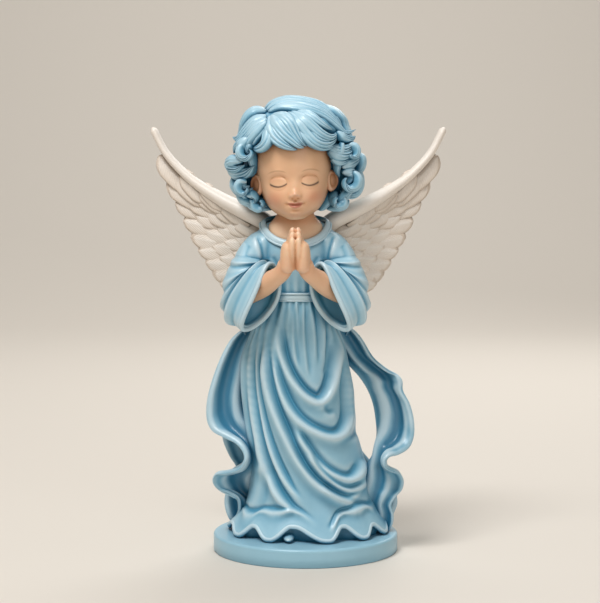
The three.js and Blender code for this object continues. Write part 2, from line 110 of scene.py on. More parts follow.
def angles(number, crowd=0.0):
    """Angles once round from the front, closer together there by the crowd."""
    even = np.linspace(0, 2 * np.pi, number, endpoint=False)
    return even - crowd * np.sin(even)


def points_at(x, y, z):
    """Points from their coordinates, each an array or one number for all."""
    return np.stack(np.broadcast_arrays(x, y, z), axis=-1)


def down(table, full):
    """Heights from a table's first row down to its last."""
    return np.linspace(table[0][0], table[-1][0], count(full))


def egg(table, heights, turn, swell=0.0, flat=1.0):
    """Rings of an egg-shaped body.

    The rows of its table give height, middle in X, half width, front reach and back reach."""
    middle, width, front, back = np.moveaxis(row_at(table, heights)[:, None, :], -1, 0)
    across, forward = np.sin(turn)[None, :], np.cos(turn)[None, :]
    reach = np.where(forward > 0, front, back) + swell
    depth = np.sign(forward) * np.abs(forward) ** np.where(forward > 0, flat, 1.0)
    x = middle + (width + swell) * across
    return points_at(x, -reach * depth, heights[:, None])


# Meshes

def relief_of(mesh, fine=5, broad=36):
    """How far each point of a mesh stands out: 0 is a hollow, 0.5 flat and 1 a crest.

    It is measured from the mesh after two numbers of rounds of smoothing, for creases and for folds, and the
    paint turns it into painted shade in the hollows and a painted highlight on the crests."""
    points, normals = read(mesh.vertices, "co", 3) / MM, read(mesh.vertices, "normal", 3)
    a, b = read(mesh.edges, "vertices", 2, np.int32).T
    ends, others, total = np.r_[a, b], np.r_[b, a], len(points)
    near = np.maximum(np.bincount(ends, minlength=total), 1)[:, None]
    smooth, relief = points, np.full(total, 0.5)
    for passed in range(broad + 1):
        if passed in (fine, broad):
            height = np.sum((points - smooth) * normals, axis=1)
            relief += np.clip(height / (0.5 if passed == fine else 2.2), -0.35, 0.35)
        mean = np.stack([np.bincount(ends, column[others], total) for column in smooth.T], axis=1) / near
        smooth = 0.4 * smooth + 0.6 * mean
    return np.clip(relief, 0, 1)


def read(items, field, width, kind=np.float32):
    values = np.empty(len(items) * width, kind)
    items.foreach_get(field, values)
    return values.reshape(-1, width)


def skin(rings, loop=False, **paint):
    """A closed skin over rings, with paint values at its points. The ends get a fan each, or meet."""
    rows, sides = rings.shape[:2]
    points = rings.reshape(-1, 3)
    i, j = np.mgrid[0:rows - (not loop), 0:sides]
    beside, below = (j + 1) % sides, (i + 1) % rows
    over, under = i * sides, below * sides
    quads = np.stack([over + j, under + j, under + beside, over + beside], axis=-1)
    quads, fans = quads.reshape(-1, 4), np.empty((0, 3), int)
    values = {name: np.broadcast_to(value, (rows, sides)) for name, value in paint.items()}
    if not loop:
        edge = np.arange(sides)
        past, last = (edge + 1) % sides, (rows - 1) * sides
        first_fan = np.stack([edge, past, np.full(sides, rows * sides)], axis=-1)
        last_fan = np.stack([last + past, last + edge, np.full(sides, rows * sides + 1)], axis=-1)
        fans = np.vstack([first_fan, last_fan])
        points = np.vstack([points, rings[0].mean(axis=0), rings[-1].mean(axis=0)])
        values = {name: np.r_[value.ravel(), value[0].mean(), value[-1].mean()]
                  for name, value in values.items()}
    corners = points[quads]
    volume = np.sum(np.cross(corners[:, 0], corners[:, 1]) * corners[:, 2])
    volume += np.sum(np.cross(corners[:, 0], corners[:, 2]) * corners[:, 3])
    if volume < 0:
        quads, fans = quads[:, ::-1], fans[:, ::-1]
    values = {name: np.ravel(value) for name, value in values.items()}
    return {"points": points, "quads": quads, "fans": fans, "paint": values}


def mirrored(shell, plane):
    points = shell["points"] * (-1, 1, 1) + (2 * plane, 0, 0)
    return {**shell, "points": points, "quads": shell["quads"][:, ::-1], "fans": shell["fans"][:, ::-1]}


def pair(shells):
    """Shells on the -X side of the body and the same ones on the other side."""
    return shells + [mirrored(shell, BODY_X) for shell in shells]


def mesh_of(name, shells):
    """One mesh made of closed skins that run into each other."""
    starts = np.cumsum([0] + [len(shell["points"]) for shell in shells])
    points = np.vstack([shell["points"] for shell in shells]) * MM
    quads = np.vstack([shell["quads"] + start for shell, start in zip(shells, starts)])
    fans = np.vstack([shell["fans"] + start for shell, start in zip(shells, starts)])
    mesh = bpy.data.meshes.new(name)
    mesh.vertices.add(len(points))
    mesh.vertices.foreach_set("co", points.astype(np.float32).ravel())
    mesh.loops.add(quads.size + fans.size)
    mesh.loops.foreach_set("vertex_index", np.r_[quads.ravel(), fans.ravel()].astype(np.int32))
    mesh.polygons.add(len(quads) + len(fans))
    loops = np.r_[np.arange(len(quads)) * 4, quads.size + np.arange(len(fans)) * 3]
    mesh.polygons.foreach_set("loop_start", loops.astype(np.int32))
    mesh.update(calc_edges=True)
    mesh.validate()
    for value in shells[0]["paint"]:
        set_paint(mesh, value, np.concatenate([shell["paint"][value] for shell in shells]))
    return mesh


def set_paint(mesh, name, values):
    attribute = mesh.attributes.get(name) or mesh.attributes.new(name, "FLOAT", "POINT")
    attribute.data.foreach_set("value", np.asarray(values, np.float32))


def fused(name, shells, cell, rounds):
    """Skins melted into one smooth skin, on a grid whose cells are this wide in millimetres."""
    raw = bpy.data.objects.new(name + "_raw", mesh_of(name + "_raw", shells))
    bpy.context.scene.collection.objects.link(raw)
    melt = raw.modifiers.new("melt", "REMESH")
    melt.mode = "VOXEL"
    melt.voxel_size = cell * MM / DETAIL
    soften = raw.modifiers.new("soften", "SMOOTH")
    soften.iterations = rounds
    seen = raw.evaluated_get(bpy.context.evaluated_depsgraph_get())
    mesh = bpy.data.meshes.new_from_object(seen)
    mesh.name = name
    bpy.data.objects.remove(raw)
    return mesh


def piece(mesh, material, node):
    """One visible piece of the object. Its relief, which sets its painted shade and highlight, is worked out
    here where its skins don't give it.
    """
    if "relief" not in mesh.attributes:
        set_paint(mesh, "relief", relief_of(mesh))
    mesh.shade_smooth()
    mesh.materials.clear()
    mesh.materials.append(material)
    made = bpy.data.objects.new(mesh.name, mesh)
    bpy.context.scene.collection.objects.link(made)
    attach(made, "root")
    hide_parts(node)


def section(along, up, sides, flat):
    """A bar's round section at each step along it. It may be flatter along up than across it."""
    side = unit(np.cross(along, up))
    over = np.cross(side, along)
    turn = angles(sides)
    return np.cos(turn)[None, :, None] * side[:, None] + flat * np.sin(turn)[None, :, None] * over[:, None]


def bar(path, radius, sides, flat=1.0, up=UP):
    """Rings of a round bar along a path."""
    radius = np.broadcast_to(radius, (len(path),))[:, None, None]
    return path[:, None] + radius * section(unit(np.gradient(path, axis=0)), up, sides, flat)


def closed_bar(path, radius, sides, flat=1.0, up=UP):
    """The skin of a round bar along a closed path."""
    along = unit(np.roll(path, -1, axis=0) - np.roll(path, 1, axis=0))
    return skin(path[:, None] + radius * section(along, up, sides, flat), loop=True)


# Skirt. Its folds are strokes on its front: a rise, a width, the depth of the furrow along the left
# side, as seen when following the line, and the line itself in X and Z.

SKIRT = [
    (150, -5, 16, 13, 12),
    (141, -5, 17, 15, 13),
    (122, -5.5, 23.5, 19, 19),
    (107, -5.5, 27, 22, 23),
    (90, -4.5, 28.5, 24, 26),
    (75, -3.5, 28.5, 26, 28),
    (60, -1.5, 29.5, 27.5, 30),
    (45, 1.5, 31, 28.5, 32),
    (33, 2, 32.8, 29.8, 33.5),
    (24, 2, 35.4, 31, 35.5),
    (17, 1.5, 39, 33, 38),
    (12, 1, 42.2, 35, 40),
    (10, 1, 43, 35.6, 40.5),
]
FOLDS = [
    (2.8, 1.8, 2.4, [(-14.5, 129.6), (-14.5, 119.9), (-13.1, 110.5), (-9.1, 100.6), (-3.7, 92.7),
                     (1.7, 87.7), (7.4, 85.7), (12.2, 90.1), (15.3, 98.6), (17.3, 108.1), (17.8, 118.7),
                     (16.8, 127.2)]),
    (0.8, 1.3, 0.8, [(12, 97.6), (14.2, 106.9), (15, 116.6), (14.6, 124.8)]),
    (2.6, 1.9, 1.8, [(-18.4, 121.1), (-17.9, 109.3), (-15.1, 96.4), (-10.3, 84.5), (-3.7, 75.8),
                     (4.7, 69.9), (14.3, 66.3), (20.6, 68.7), (24, 76.7), (23.7, 90.3), (22.2, 103.3),
                     (20.2, 115.4)]),
    (0.7, 1.6, 0.35, [(7.6, 84), (9.4, 79.6), (12.6, 77.4), (17, 78.6)]),
    (2.2, 1.7, 1.6, [(-6.7, 72.6), (-0.7, 62.3), (7.2, 52.2), (14.9, 45.8), (22.7, 42.5), (27.8, 44.6),
                     (29.7, 50.1), (27.6, 55)]),
    (1.8, 1.5, 1.4, [(0.5, 59.3), (6.5, 48.9), (14.3, 41), (22.7, 36.7), (29.3, 37.9), (32.3, 42.8)]),
    (1.3, 1.4, 1.0, [(7.1, 41.6), (14.3, 35.5), (22.7, 32.5), (31.1, 33.7)]),
    (3.0, 1.8, 2.3, [(-21.8, 121.1), (-21.7, 105.7), (-19.9, 92.7), (-16.3, 80.6), (-10.9, 67.7),
                     (-4.3, 54.4), (3.5, 43.8), (13.1, 36), (24, 29.4), (34.8, 25.5)]),
    (2.8, 1.6, 2.2, [(-27.8, 123.5), (-29.9, 108.1), (-30.1, 92.7), (-28, 77), (-25.3, 62.9),
                     (-21.6, 50.1), (-16.3, 37.9), (-9.1, 28.5), (-0.7, 21.9), (7.4, 17.5)]),
    (1.4, 1.3, 1.2, [(-31.2, 119.9), (-32.6, 105.7), (-32.5, 90.3), (-31.3, 75), (-29.1, 60.5),
                     (-28.1, 48.9)]),
    (2.0, 1.2, 1.7, [(-24.4, 122.3), (-26.3, 108.1), (-26.5, 92.7), (-24.4, 78.2), (-20.5, 64.1),
                     (-15.1, 50.8), (-8.5, 39.1), (-1.3, 30.6)]),
    (1.2, 2.4, 0.8, [(-23.4, 52), (-24.3, 40), (-28.3, 28.2), (-34.9, 20.9)]),
    (1.5, 1.5, 1.2, [(25.8, 65.3), (28.8, 58), (33.6, 52)]),
    (1.3, 1.6, 1.0, [(32.3, 52), (31.1, 41.6), (32.3, 34.3)]),
    (1.9, 1.3, 1.5, [(12, 16), (16.2, 19.7), (20.4, 23.6), (25.8, 26.4), (31.2, 26), (38, 24)]),
    (1.5, 1.3, 1.2, [(-37, 21), (-27.7, 22.7), (-20.5, 24.6), (-13.9, 26), (-4.9, 25.8)]),
    (0.5, 1.0, 0.7, [(-7.3, 137), (-7, 121.1), (-4.6, 102)]),
    (0.5, 1.0, 0.6, [(-1.3, 137), (-1, 119.9), (1.5, 97)]),
    (0.4, 1.0, 0.6, [(4.2, 137), (5, 121.1), (5.7, 104)]),
    (0.4, 1.0, 0.6, [(9.6, 137), (10.4, 121.1), (10, 106)]),
]
# Round the hem, in degrees from the front: 0 where the cloth lies on the foot and 1 at the top of an arch
HEM_ARCHES = [(-180, 0.5), (-150, 0), (-125, 0.7), (-100, 0), (-78, 0.6), (-58, 0), (-45, 0.8), (-28, 0),
              (-12, 1), (15, 0), (28, 0.95), (44, 0), (59, 0.75), (73, 0), (95, 0.7), (118, 0),
              (140, 0.7), (162, 0), (180, 0.5)]
SKIRT_TOP, HEM = 148, FOOT_TOP + 1.8
RESTING = FOOT_TOP + 0.05  # height of cloth that lies on the foot
HEM_LIFT = 7.2  # rise of the highest arch
HEM_ROLL = 2.8  # how far the hem turns under
HEM_ROUND, CUFF_ROUND = 1.35, 1.3  # radius of the rolled edges
CLOTH = 2.2  # thickness of the mantle
TOE, TOE_HALF = [(-9, -24, 12.6), (-9.2, -30, 12.4), (-9.4, -36.4, 11.9)], 3.0


def folds_at(table, x, z):
    """Height of carved folds at some places of a front."""
    total = np.zeros(x.shape)
    share = np.linspace(0, 1, 160)
    fade = step(share, 0, 0.18) * step(share[::-1], 0, 0.22)
    for rise, width, furrow, line in table:
        path = through(line, len(share))
        along = unit(np.gradient(path, axis=0))
        reach = 4.5 * width
        near = (x > path[:, 0].min() - reach) & (x < path[:, 0].max() + reach)
        near &= (z > path[:, 1].min() - reach) & (z < path[:, 1].max() + reach)
        off = np.stack([x[near], z[near]], axis=-1)[:, None] - path[None]
        distance = np.linalg.norm(off, axis=-1)
        nearest = distance.argmin(axis=1)
        pick = np.arange(len(nearest))
        off, way = off[pick, nearest], along[nearest]
        left = np.sign(way[:, 0] * off[:, 1] - way[:, 1] * off[:, 0])
        aside = left * distance[pick, nearest]
        crest = 1.25 * rise * bell(aside, np.where(aside > 0, 0.8, 2.2) * width)
        gully = 1.4 * furrow * np.exp(-np.abs((aside - 1.6 * width) / width) ** 1.5)
        total[near] += fade[nearest] * (crest - gully)
    return total


def softened(field, rounds):
    """A field on the rows and columns of a skirt, with its creases rounded."""
    for _ in range(rounds):
        field = (np.vstack([field[:1], field[:-1]]) + 2 * field + np.vstack([field[1:], field[-1:]])) / 4
        for _ in range(3):
            field = (np.roll(field, 1, axis=1) + 2 * field + np.roll(field, -1, axis=1)) / 4
    return field


def hem_arch(turn):
    """How far the hem is lifted at some angles, as a share of the highest arch's rise."""
    angle, arch = np.array(HEM_ARCHES, float).T
    degrees = np.mod(np.degrees(turn) + 180, 360) - 180
    i = np.clip(np.searchsorted(angle, degrees) - 1, 0, len(angle) - 2)
    share = (degrees - angle[i]) / (angle[i + 1] - angle[i])
    return arch[i] + (arch[i + 1] - arch[i]) * step(share, 0.06, 0.94)


def skirt():
    turn = angles(count(325), 0.46)
    heights = np.linspace(SKIRT_TOP, HEM, count(214))
    front = step(np.cos(turn), -0.15, 0.3)[None, :]
    flat = egg(SKIRT, heights, turn)
    x, z = flat[..., 0], flat[..., 2]
    gather = (0.45 * np.cos(27 * turn + 0.8 * np.sin(5 * turn)) + 0.3 * np.cos(17 * turn))[None, :]
    waist = step(heights, 104, 137)[:, None]
    sway = np.cos(9 * turn[None, :] + 0.02 * (heights[:, None] - 80))
    rear = 1.1 * np.cos(9 * turn + 0.5 * np.sin(3 * turn)) + 0.5 * np.cos(21 * turn + 1)
    rear = rear[None, :] * (1 - 0.5 * waist) + 1.3 * sway * (1 - waist)
    hem = 1 - step(heights, 12, 40)[:, None]
    flare = hem**2.2 * (3.0 - 4.4 * hem_arch(turn))[None, :]
    front_folds = softened(folds_at(FOLDS, x, z), 2) * (1 - 0.3 * hem)
    swell = front * (front_folds + gather * waist) + (1 - front) * rear * (1 - 0.6 * hem) + flare
    rings = egg(SKIRT, heights, turn, swell)
    rings[..., 2] += HEM_LIFT * hem_arch(turn)[None, :] * (1 - step(heights, FOOT_TOP, 32)[:, None])
    # The rim turns under, runs on into the hollow below each arch and ends on the foot.
    rim, inward = rings[-1], unit(points_at(-np.sin(turn), np.cos(turn), 0))
    lip = [(1 - math.cos(a), math.sin(a)) for a in np.linspace(-0.6, math.pi, 11)]
    under = [rim + HEM_ROLL / 2 * (near * inward - (0, 0, low)) for near, low in lip]
    under += [under[-1] + 1.6 * inward + (0, 0, 0.8), under[-1] + 2.6 * inward]
    floor = under[-1] * (1, 1, 0) + RESTING * UP
    rings = np.concatenate([rings, np.stack(under), floor[None]])
    rings[..., 2] = np.maximum(rings[..., 2], RESTING)
    return [skin(rings), closed_bar(rim + 0.9 * inward - (0, 0, 0.1), HEM_ROUND, count(12))]


def toe():
    """The tip of a slipper under the hem's highest arch."""
    share = np.linspace(0, 1, count(30))
    return skin(bar(through(TOE, len(share)), TOE_HALF * tapered(share, 0.4), count(32), flat=0.6))


# Bodice, belt, collar and neck

BODICE = [
    (186, BODY_X, 8, 7, 9),
    (183, BODY_X, 14.5, 8.5, 12),
    (179.5, BODY_X, 18.6, 10.6, 14),
    (172, BODY_X, 22, 13.6, 16),
    (166, BODY_X, 22.5, 15.6, 16.5),
    (158, BODY_X, 20.5, 16.6, 16),
    (148, BODY_X, 18, 15.6, 14),
    (137, -5, 17, 14, 13),
]
NECK = [
    (197, BODY_X, 9.6, 8, 9),
    (190, BODY_X, 9.8, 8.4, 9.5),
    (186, BODY_X, 10.2, 8.6, 10),
    (183, BODY_X, 12.2, 9.2, 11.5),
    (180, BODY_X, 15.4, 10.4, 12.5),
    (176, BODY_X, 17.8, 12, 13.5),
    (170, BODY_X, 19.4, 13.7, 14.8),
    (163, BODY_X, 19, 14.6, 14.5),
]
NECKLINE_WIDE, NECKLINE_FRONT, NECKLINE_BACK = 17.4, 14.2, 13.5
NECKLINE_TOP, NECKLINE_DROP, NECKLINE_RISE = 180.8, 10.8, 3
COLLAR_HALF, CORD = 2.0, 0.75  # half width of the band and radius of the cord round it
# The collar's band faces away from the one and spreads away from the other
CHEST, THROAT = (BODY_X, 0, 164), (BODY_X, -4, 186)
# Bars of the belt: height, how far each stands out, radius and how much taller it is than deep
BELT = [(141.3, 0.9, 0.9, 2.3), (143.2, 1.3, 0.6, 1.0), (139.4, 1.3, 0.6, 1.0)]
BODICE_FOLDS = [
    (0.45, 1.1, 0.5, [(-28.1, 174.5), (-26.2, 169.4), (-24.8, 164.5), (-24.1, 159)]),
    (0.3, 1.5, 0.3, [(-32.6, 171), (-34.6, 166.4), (-36, 162)]),
    (0.4, 1.2, 0.5, [(-34, 161), (-28.6, 160.4), (-22, 158.2)]),
    (0.3, 1.3, 0.3, [(-20, 163), (-17, 158), (-14.5, 152)]),
]


def bodice():
    turn = angles(count(160), 0.3)
    heights = down(BODICE, 80)
    gather = 0.28 * np.cos(24 * turn)[None, :] * (1 - step(heights, 144, 158))[:, None]
    x, y, z = np.moveaxis(egg(BODICE, heights, turn), -1, 0)
    low = np.minimum(z - NECKLINE_TOP, 0) / np.where(y < 0, NECKLINE_DROP, NECKLINE_RISE)
    inside = 1 - ((x - BODY_X) / NECKLINE_WIDE) ** 2 - low**2
    return skin(egg(BODICE, heights, turn, gather - 3.5 * step(inside, -0.05, 0.2)))


def neckline(number):
    turn = angles(number)
    forward = np.cos(turn)
    drop = np.where(forward > 0, NECKLINE_DROP, NECKLINE_RISE)
    depth = np.where(forward > 0, NECKLINE_FRONT, NECKLINE_BACK)
    x = BODY_X + NECKLINE_WIDE * np.sin(turn)
    return points_at(x, -0.5 - depth * forward, NECKLINE_TOP - drop * forward)


def collar():
    """A flat band with a thin cord along its outer edge."""
    path = neckline(count(120))
    out = unit(path - CHEST)
    away = unit(path - THROAT) - 0.2 * out
    middle = path + 0.5 * out
    band = closed_bar(middle, COLLAR_HALF, count(18), 0.55, out)
    return [band, closed_bar(middle + COLLAR_HALF * away, CORD, count(10), 1.0, out)]


def belt():
    """A flat band with a thin cord along each edge."""
    shells = []
    turn = angles(count(120))
    for z, proud, radius, tall in BELT:
        middle, width, front, back = row_at(BODICE, np.array([z]))[0]
        reach = np.where(np.cos(turn) > 0, front, back) + proud
        path = points_at(middle + (width + proud) * np.sin(turn), -reach * np.cos(turn), z)
        shells.append(closed_bar(path, radius, count(14), tall))
    return shells


def neck():
    return skin(egg(NECK, down(NECK, 44), angles(count(80))), **BARE)


# Sleeves: ovals from the shoulder round the elbow to the cuff. Each has a middle, a half axis to its
# front, a half axis to its elbow side and a lean that bulges it to one side.

UPPER_SLEEVE = [
    ((-14, 1, 171), (0, -9.5, 0), (-5, 0, 8), (0, 0, 0)),
    ((-21, 0.6, 168.4), (0, -11.8, 0.6), (-8.6, 0, 6.6), (0, 0, 0)),
    ((-25.6, -1, 163.4), (0, -12.8, 1), (-11, 0, 3.6), (0, 0, 0)),
    ((-28.2, -3.4, 158), (-0.5, -12.2, 1), (-11.4, 0, 1), (0, 0, 0)),
    ((-30, -6, 151), (-1, -10.4, 1), (-9.6, 1, -2), (0, 0, 0)),
    ((-31, -9, 145), (-1, -7.5, 1), (-6, 1, -3), (0, 0, 0)),
]
BELL_SLEEVE = [
    ((-30, -4, 163.5), (-0.5, -7.6, 0), (-5.4, 0, 1), (0, 0, 0)),
    ((-30.6, -5.4, 160.6), (-1, -12.8, 1.4), (-9.6, 1, 0), (0, 0, 0)),
    ((-31.4, -7.4, 156), (-2.2, -13.6, 1.5), (-11.8, 2, -3.4), (0, 0, 0)),
    ((-32.4, -10, 151), (-4.6, -12.6, 1.5), (-11.8, 2.4, -9.6), (0, 0, 0)),
    ((-32.2, -14.4, 146), (-7.2, -10.8, 1.6), (-9.8, 2.4, -15.4), (0, 0, 0)),
    ((-30.3, -20.4, 143), (-8.4, -8.6, 1.6), (-7.4, 1.6, -17.4), (1.5, 0.6, 0)),
    ((-25.8, -26.6, 142.4), (-6.2, -7.4, 1.2), (-6.8, 0, -17.4), (4.2, 1.2, 0)),
]
CUFF_INSIDE = [(0.9, (-25.7, -26.2, 142.4)), (0.86, (-26.8, -24.6, 142.4)), (0.8, (-28, -22, 142.6)),
               (0.45, (-29, -19, 144))]
# Folds that run round the sleeve from its crease to the bottom of the cuff: place, width and rise
SLEEVE_FOLDS = [(0.2, 0.03, 0.05), (0.27, 0.03, -0.07), (0.42, 0.04, 0.07), (0.51, 0.03, -0.07),
                (0.6, 0.035, 0.08), (0.69, 0.03, -0.09), (0.78, 0.035, 0.07), (0.87, 0.03, -0.08),
                (0.97, 0.03, 0.06)]


def ovals(table, rows, turn, grow):
    """Rings between the ovals of a table, larger by the growth at each of their points."""
    at = np.linspace(0, len(table) - 1, rows)
    middle, front, side, lean = (spline([line[k] for line in table], at)[:, None] for k in range(4))
    return middle + cuff_shape(turn, 1 + grow, front, side, lean)


def cuff_shape(turn, size, front, side, lean):
    """An oval that is wider at its elbow side, where the sleeve hangs."""
    wide = size * np.cos(turn) * (1 + 0.16 * np.sin(turn))
    bulge = size * np.cos(turn) ** 2
    return wide[..., None] * front + (size * np.sin(turn))[..., None] * side + bulge[..., None] * lean


def sleeve():
    """The upper sleeve's skin, and the skins of the bell and of its rolled edge."""
    turn = angles(count(100))
    upper = ovals(UPPER_SLEEVE, count(44), turn, np.zeros((1, len(turn))))
    share = np.linspace(0, 1, count(124))[:, None]
    spread = 0.08 * (np.cos(turn + 0.6) - 0.2)[None, :] * (1 - share)
    grow = sum(rise * bell(share - place - spread, width) for place, width, rise in SLEEVE_FOLDS)
    grow = grow * step(np.cos(turn + 0.3), -0.9, 0.2)[None, :] * step(share, 0.1, 0.25)
    outside = ovals(BELL_SLEEVE, len(share), turn, grow)
    front, side, lean = (np.array(BELL_SLEEVE[-1][k]) for k in (1, 2, 3))
    inside = [np.array(middle) + cuff_shape(turn, size, front, side, lean) for size, middle in CUFF_INSIDE]
    inside = np.stack([outside[-1], *inside]).reshape(len(inside) + 1, -1)
    inside = spline(inside, np.linspace(0, len(inside) - 1, count(20))).reshape(-1, len(turn), 3)
    rim = outside[-1]
    rolled = closed_bar(rim, CUFF_ROUND, count(12), up=unit(rim - np.array(BELL_SLEEVE[-1][0])))
    return skin(upper), [skin(np.concatenate([outside, inside[1:]])), rolled]


def torso(upper):
    """The bodice and the upper sleeves in one skin, with creases carved into its front."""
    mesh = fused("torso", [bodice(), *pair([upper])], cell=0.7, rounds=6)
    points, normals = read(mesh.vertices, "co", 3) / MM, read(mesh.vertices, "normal", 3)
    x = BODY_X - np.abs(points[:, 0] - BODY_X)
    height = folds_at(BODICE_FOLDS, x, points[:, 2]) * step(-points[:, 1], 1, 6)
    carved = (points + normals * height[:, None]) * MM
    mesh.vertices.foreach_set("co", carved.astype(np.float32).ravel())
    mesh.update()
    return mesh


# Mantle: panels of cloth between two edges given in X, Z and depth, from the top down. Folds is the number
# of waves across a panel, deep their depth, hollow the depth of the broad hollow and phase where they start.

RIGHT_MANTLE = {
    "folds": 2.1, "deep": 1.7, "hollow": 2.0, "phase": 0.4,
    "outer": [(-32, 123, 6), (-37.2, 120.3, 5), (-42.2, 115.3, 4), (-47.2, 105.9, 2.5), (-51.5, 94.5, 1),
              (-54.4, 83, -1), (-54.5, 73, -3), (-51.6, 67.1, -6), (-45.2, 64.2, -10), (-38.1, 61.4, -14),
              (-33.8, 57, -17), (-33.1, 52, -18), (-36.7, 46.8, -16), (-43.9, 44.2, -12),
              (-49.6, 42.9, -9), (-51.3, 38.9, -7), (-48.9, 34.8, -6), (-42.5, 32.4, -6), (-37.5, 29, -6),
              (-36.8, 22, -5), (-39, 16, -3), (-39, 10.4, -2)],
    "inner": [(-18, 126, 7), (-21, 112, 8), (-23, 100, 8.5), (-24, 90, 8.5), (-24, 80, 8), (-23, 70, 6),
              (-22, 60, 4), (-21, 52, 3), (-21, 45, 3), (-22, 39, 4), (-23, 32, 5), (-24, 25, 6),
              (-25, 18, 7), (-25, 10.4, 7)],
}
LEFT_MANTLE = {
    "folds": 1.8, "deep": 1.8, "hollow": 2.2, "phase": 2.6,
    "outer": [(21, 126, 6), (27.5, 121.1, 5), (31.8, 116.1, 4), (37.5, 106.8, 2), (45.3, 100.3, 0),
              (51.1, 97.2, -1), (53.4, 94, -3), (53.6, 88.9, -4), (57.3, 81.7, -5), (59.5, 73, -6),
              (59.6, 64.4, -7), (56.9, 58.3, -10), (51.2, 55.4, -14), (46, 55, -17), (43, 52.4, -18),
              (43.4, 48.4, -17), (47, 45.8, -14), (51.6, 43.6, -11), (54, 39.4, -9), (53.2, 34.4, -8),
              (49.8, 30.4, -8), (47.4, 25.4, -7), (48.6, 20, -6), (48.4, 15, -5), (46.4, 10.4, -4)],
    "inner": [(8, 126, 9), (15, 111, 10), (23.5, 102, 8), (30, 95, 6), (34.5, 88, 5), (37.5, 80, 5),
              (39, 71, 4), (39.5, 63, 3), (37.8, 54, 0), (33, 46, -2), (31, 38, -3), (31, 29, -3),
              (31, 19, 0), (31, 10.4, 2)],
}
RIGHT_TRAIN = {
    "folds": 1.3, "deep": 1.6, "hollow": 1.2, "phase": 1,
    "outer": [(-30, 88, 12), (-46, 72, 9), (-46.5, 60, 12), (-43, 50, 14), (-39, 42, 15), (-43, 34, 14),
              (-45.5, 25, 12), (-44, 17, 10), (-40, 10.4, 9)],
    "inner": [(-14, 88, 18), (-16, 72, 20), (-16, 60, 20), (-18, 50, 20), (-18, 42, 20), (-20, 34, 20),
              (-20, 25, 20), (-20, 17, 20), (-20, 10.4, 20)],
}
LEFT_TRAIN = {
    "folds": 1.2, "deep": 1.4, "hollow": 1.0, "phase": 2,
    "outer": [(26, 60, 11), (34, 50, 9), (42, 41, 9), (49, 33, 10), (51.5, 25, 8), (49.5, 18, 8),
              (46, 10.4, 9)],
    "inner": [(16, 60, 16), (18, 48, 18), (18, 41, 20), (20, 33, 20), (20, 25, 20), (20, 18, 20),
              (20, 10.4, 20)],
}
BACK_SWAG = {
    "folds": 2.2, "deep": 1.3, "hollow": 0.0, "phase": 0,
    "outer": [(-37, 124, 4), (-30, 110, 14.6), (-18, 100, 25), (-5, 96, 28), (8, 100, 25),
              (19, 110, 14.6), (26, 124, 4)],
    "inner": [(-35, 134, 2), (-29, 131, 11.6), (-18, 128, 19), (-5, 127, 20.6), (8, 128, 19),
              (18, 131, 11.6), (24, 134, 2)],
}


def panel(plan):
    """A thick cloth with a rolled outer edge, a broad hollow beside it and a few soft folds along it."""
    rows, half = count(182), count(36)
    outer, inner = (spline([(x, y, z) for x, z, y in line], np.linspace(0, len(line) - 1, rows))
                    for line in (plan["outer"], plan["inner"]))
    u = 0.5 - 0.5 * np.cos(np.linspace(0, np.pi, half))[None, :, None]
    sheet = inner[:, None] + (outer - inner)[:, None] * u
    normal = unit(np.cross(np.gradient(sheet, axis=0), np.gradient(sheet, axis=1)))
    for _ in range(count(6)):
        normal = unit(np.vstack([normal[:1], normal[:-1]]) + normal + np.vstack([normal[1:], normal[-1:]]))
    normal = normal * -np.sign(normal[..., 1].sum())
    t = np.linspace(0, 1, rows)[:, None, None]
    inside = np.sin(np.pi * u) ** 0.7
    wave = np.sin(2 * np.pi * plan["folds"] * u + 5 * t + plan["phase"])
    wave = wave + 0.12 * np.sin(7 * np.pi * u - 7 * t)
    height = plan["deep"] * wave * inside - plan["hollow"] * bell(u - 0.66, 0.2)
    sheet = sheet + normal * height
    thick = CLOTH / 2 * np.sqrt(1 - (2 * u - 1) ** 8) * (1 + 0.6 * bell(u - 0.95, 0.06))
    rear = (sheet - thick * normal)[:, ::-1]
    return skin(np.concatenate([sheet + thick * normal, rear], axis=1))


# Head: the rings of a skull, with the face as bumps on its front.
# The eyes lie just under half way up, and the nose and the chin divide the rest in even steps.

SKULL = [
    (243, BODY_X, 4, 4, 4),
    (240, BODY_X, 11, 13, 12),
    (232, BODY_X, 18.2, 21.5, 20),
    (223, BODY_X, 21, 26, 23),
    (213, BODY_X, 21.4, 27, 24),
    (205, BODY_X, 20, 26.2, 22),
    (198, BODY_X, 18.4, 26.4, 19),
    (192, BODY_X, 15.7, 26, 14),
    (187, BODY_X, 11.0, 24.2, 9),
    (183.6, BODY_X, 4.8, 20.6, 0),
]
HEAD_LEAN, NECK_TOP = 3.2, 192  # degrees, and the height of the joint that the head leans about
EYE_LINE, EYE_APART, EYE_HALF = 203.6, 8.5, 4.6
NOSE_TIP, MOUTH_LINE, CHIN = 197.3, 191.7, 186.4
BRIDGE, BROW_LINE, CHEEKS = 201.5, 210.2, 195.6
EAR_OUT, EAR_BACK, EAR_HEIGHT = 20.2, -7, 203.4  # middle of an ear: out from the head's middle, depth, height
EAR_DEEP, EAR_TALL = 3.2, 5.8  # half its depth and half its height
BARE = {"blush": 0.0, "lip": 0.0, "ink": 0.0, "brow": 0.0}


def lash_line(u):
    """Height of a closed eye's lashes, where u runs from -1 to 1 across the eye."""
    return EYE_LINE - 1.9 + 1.5 * u**2


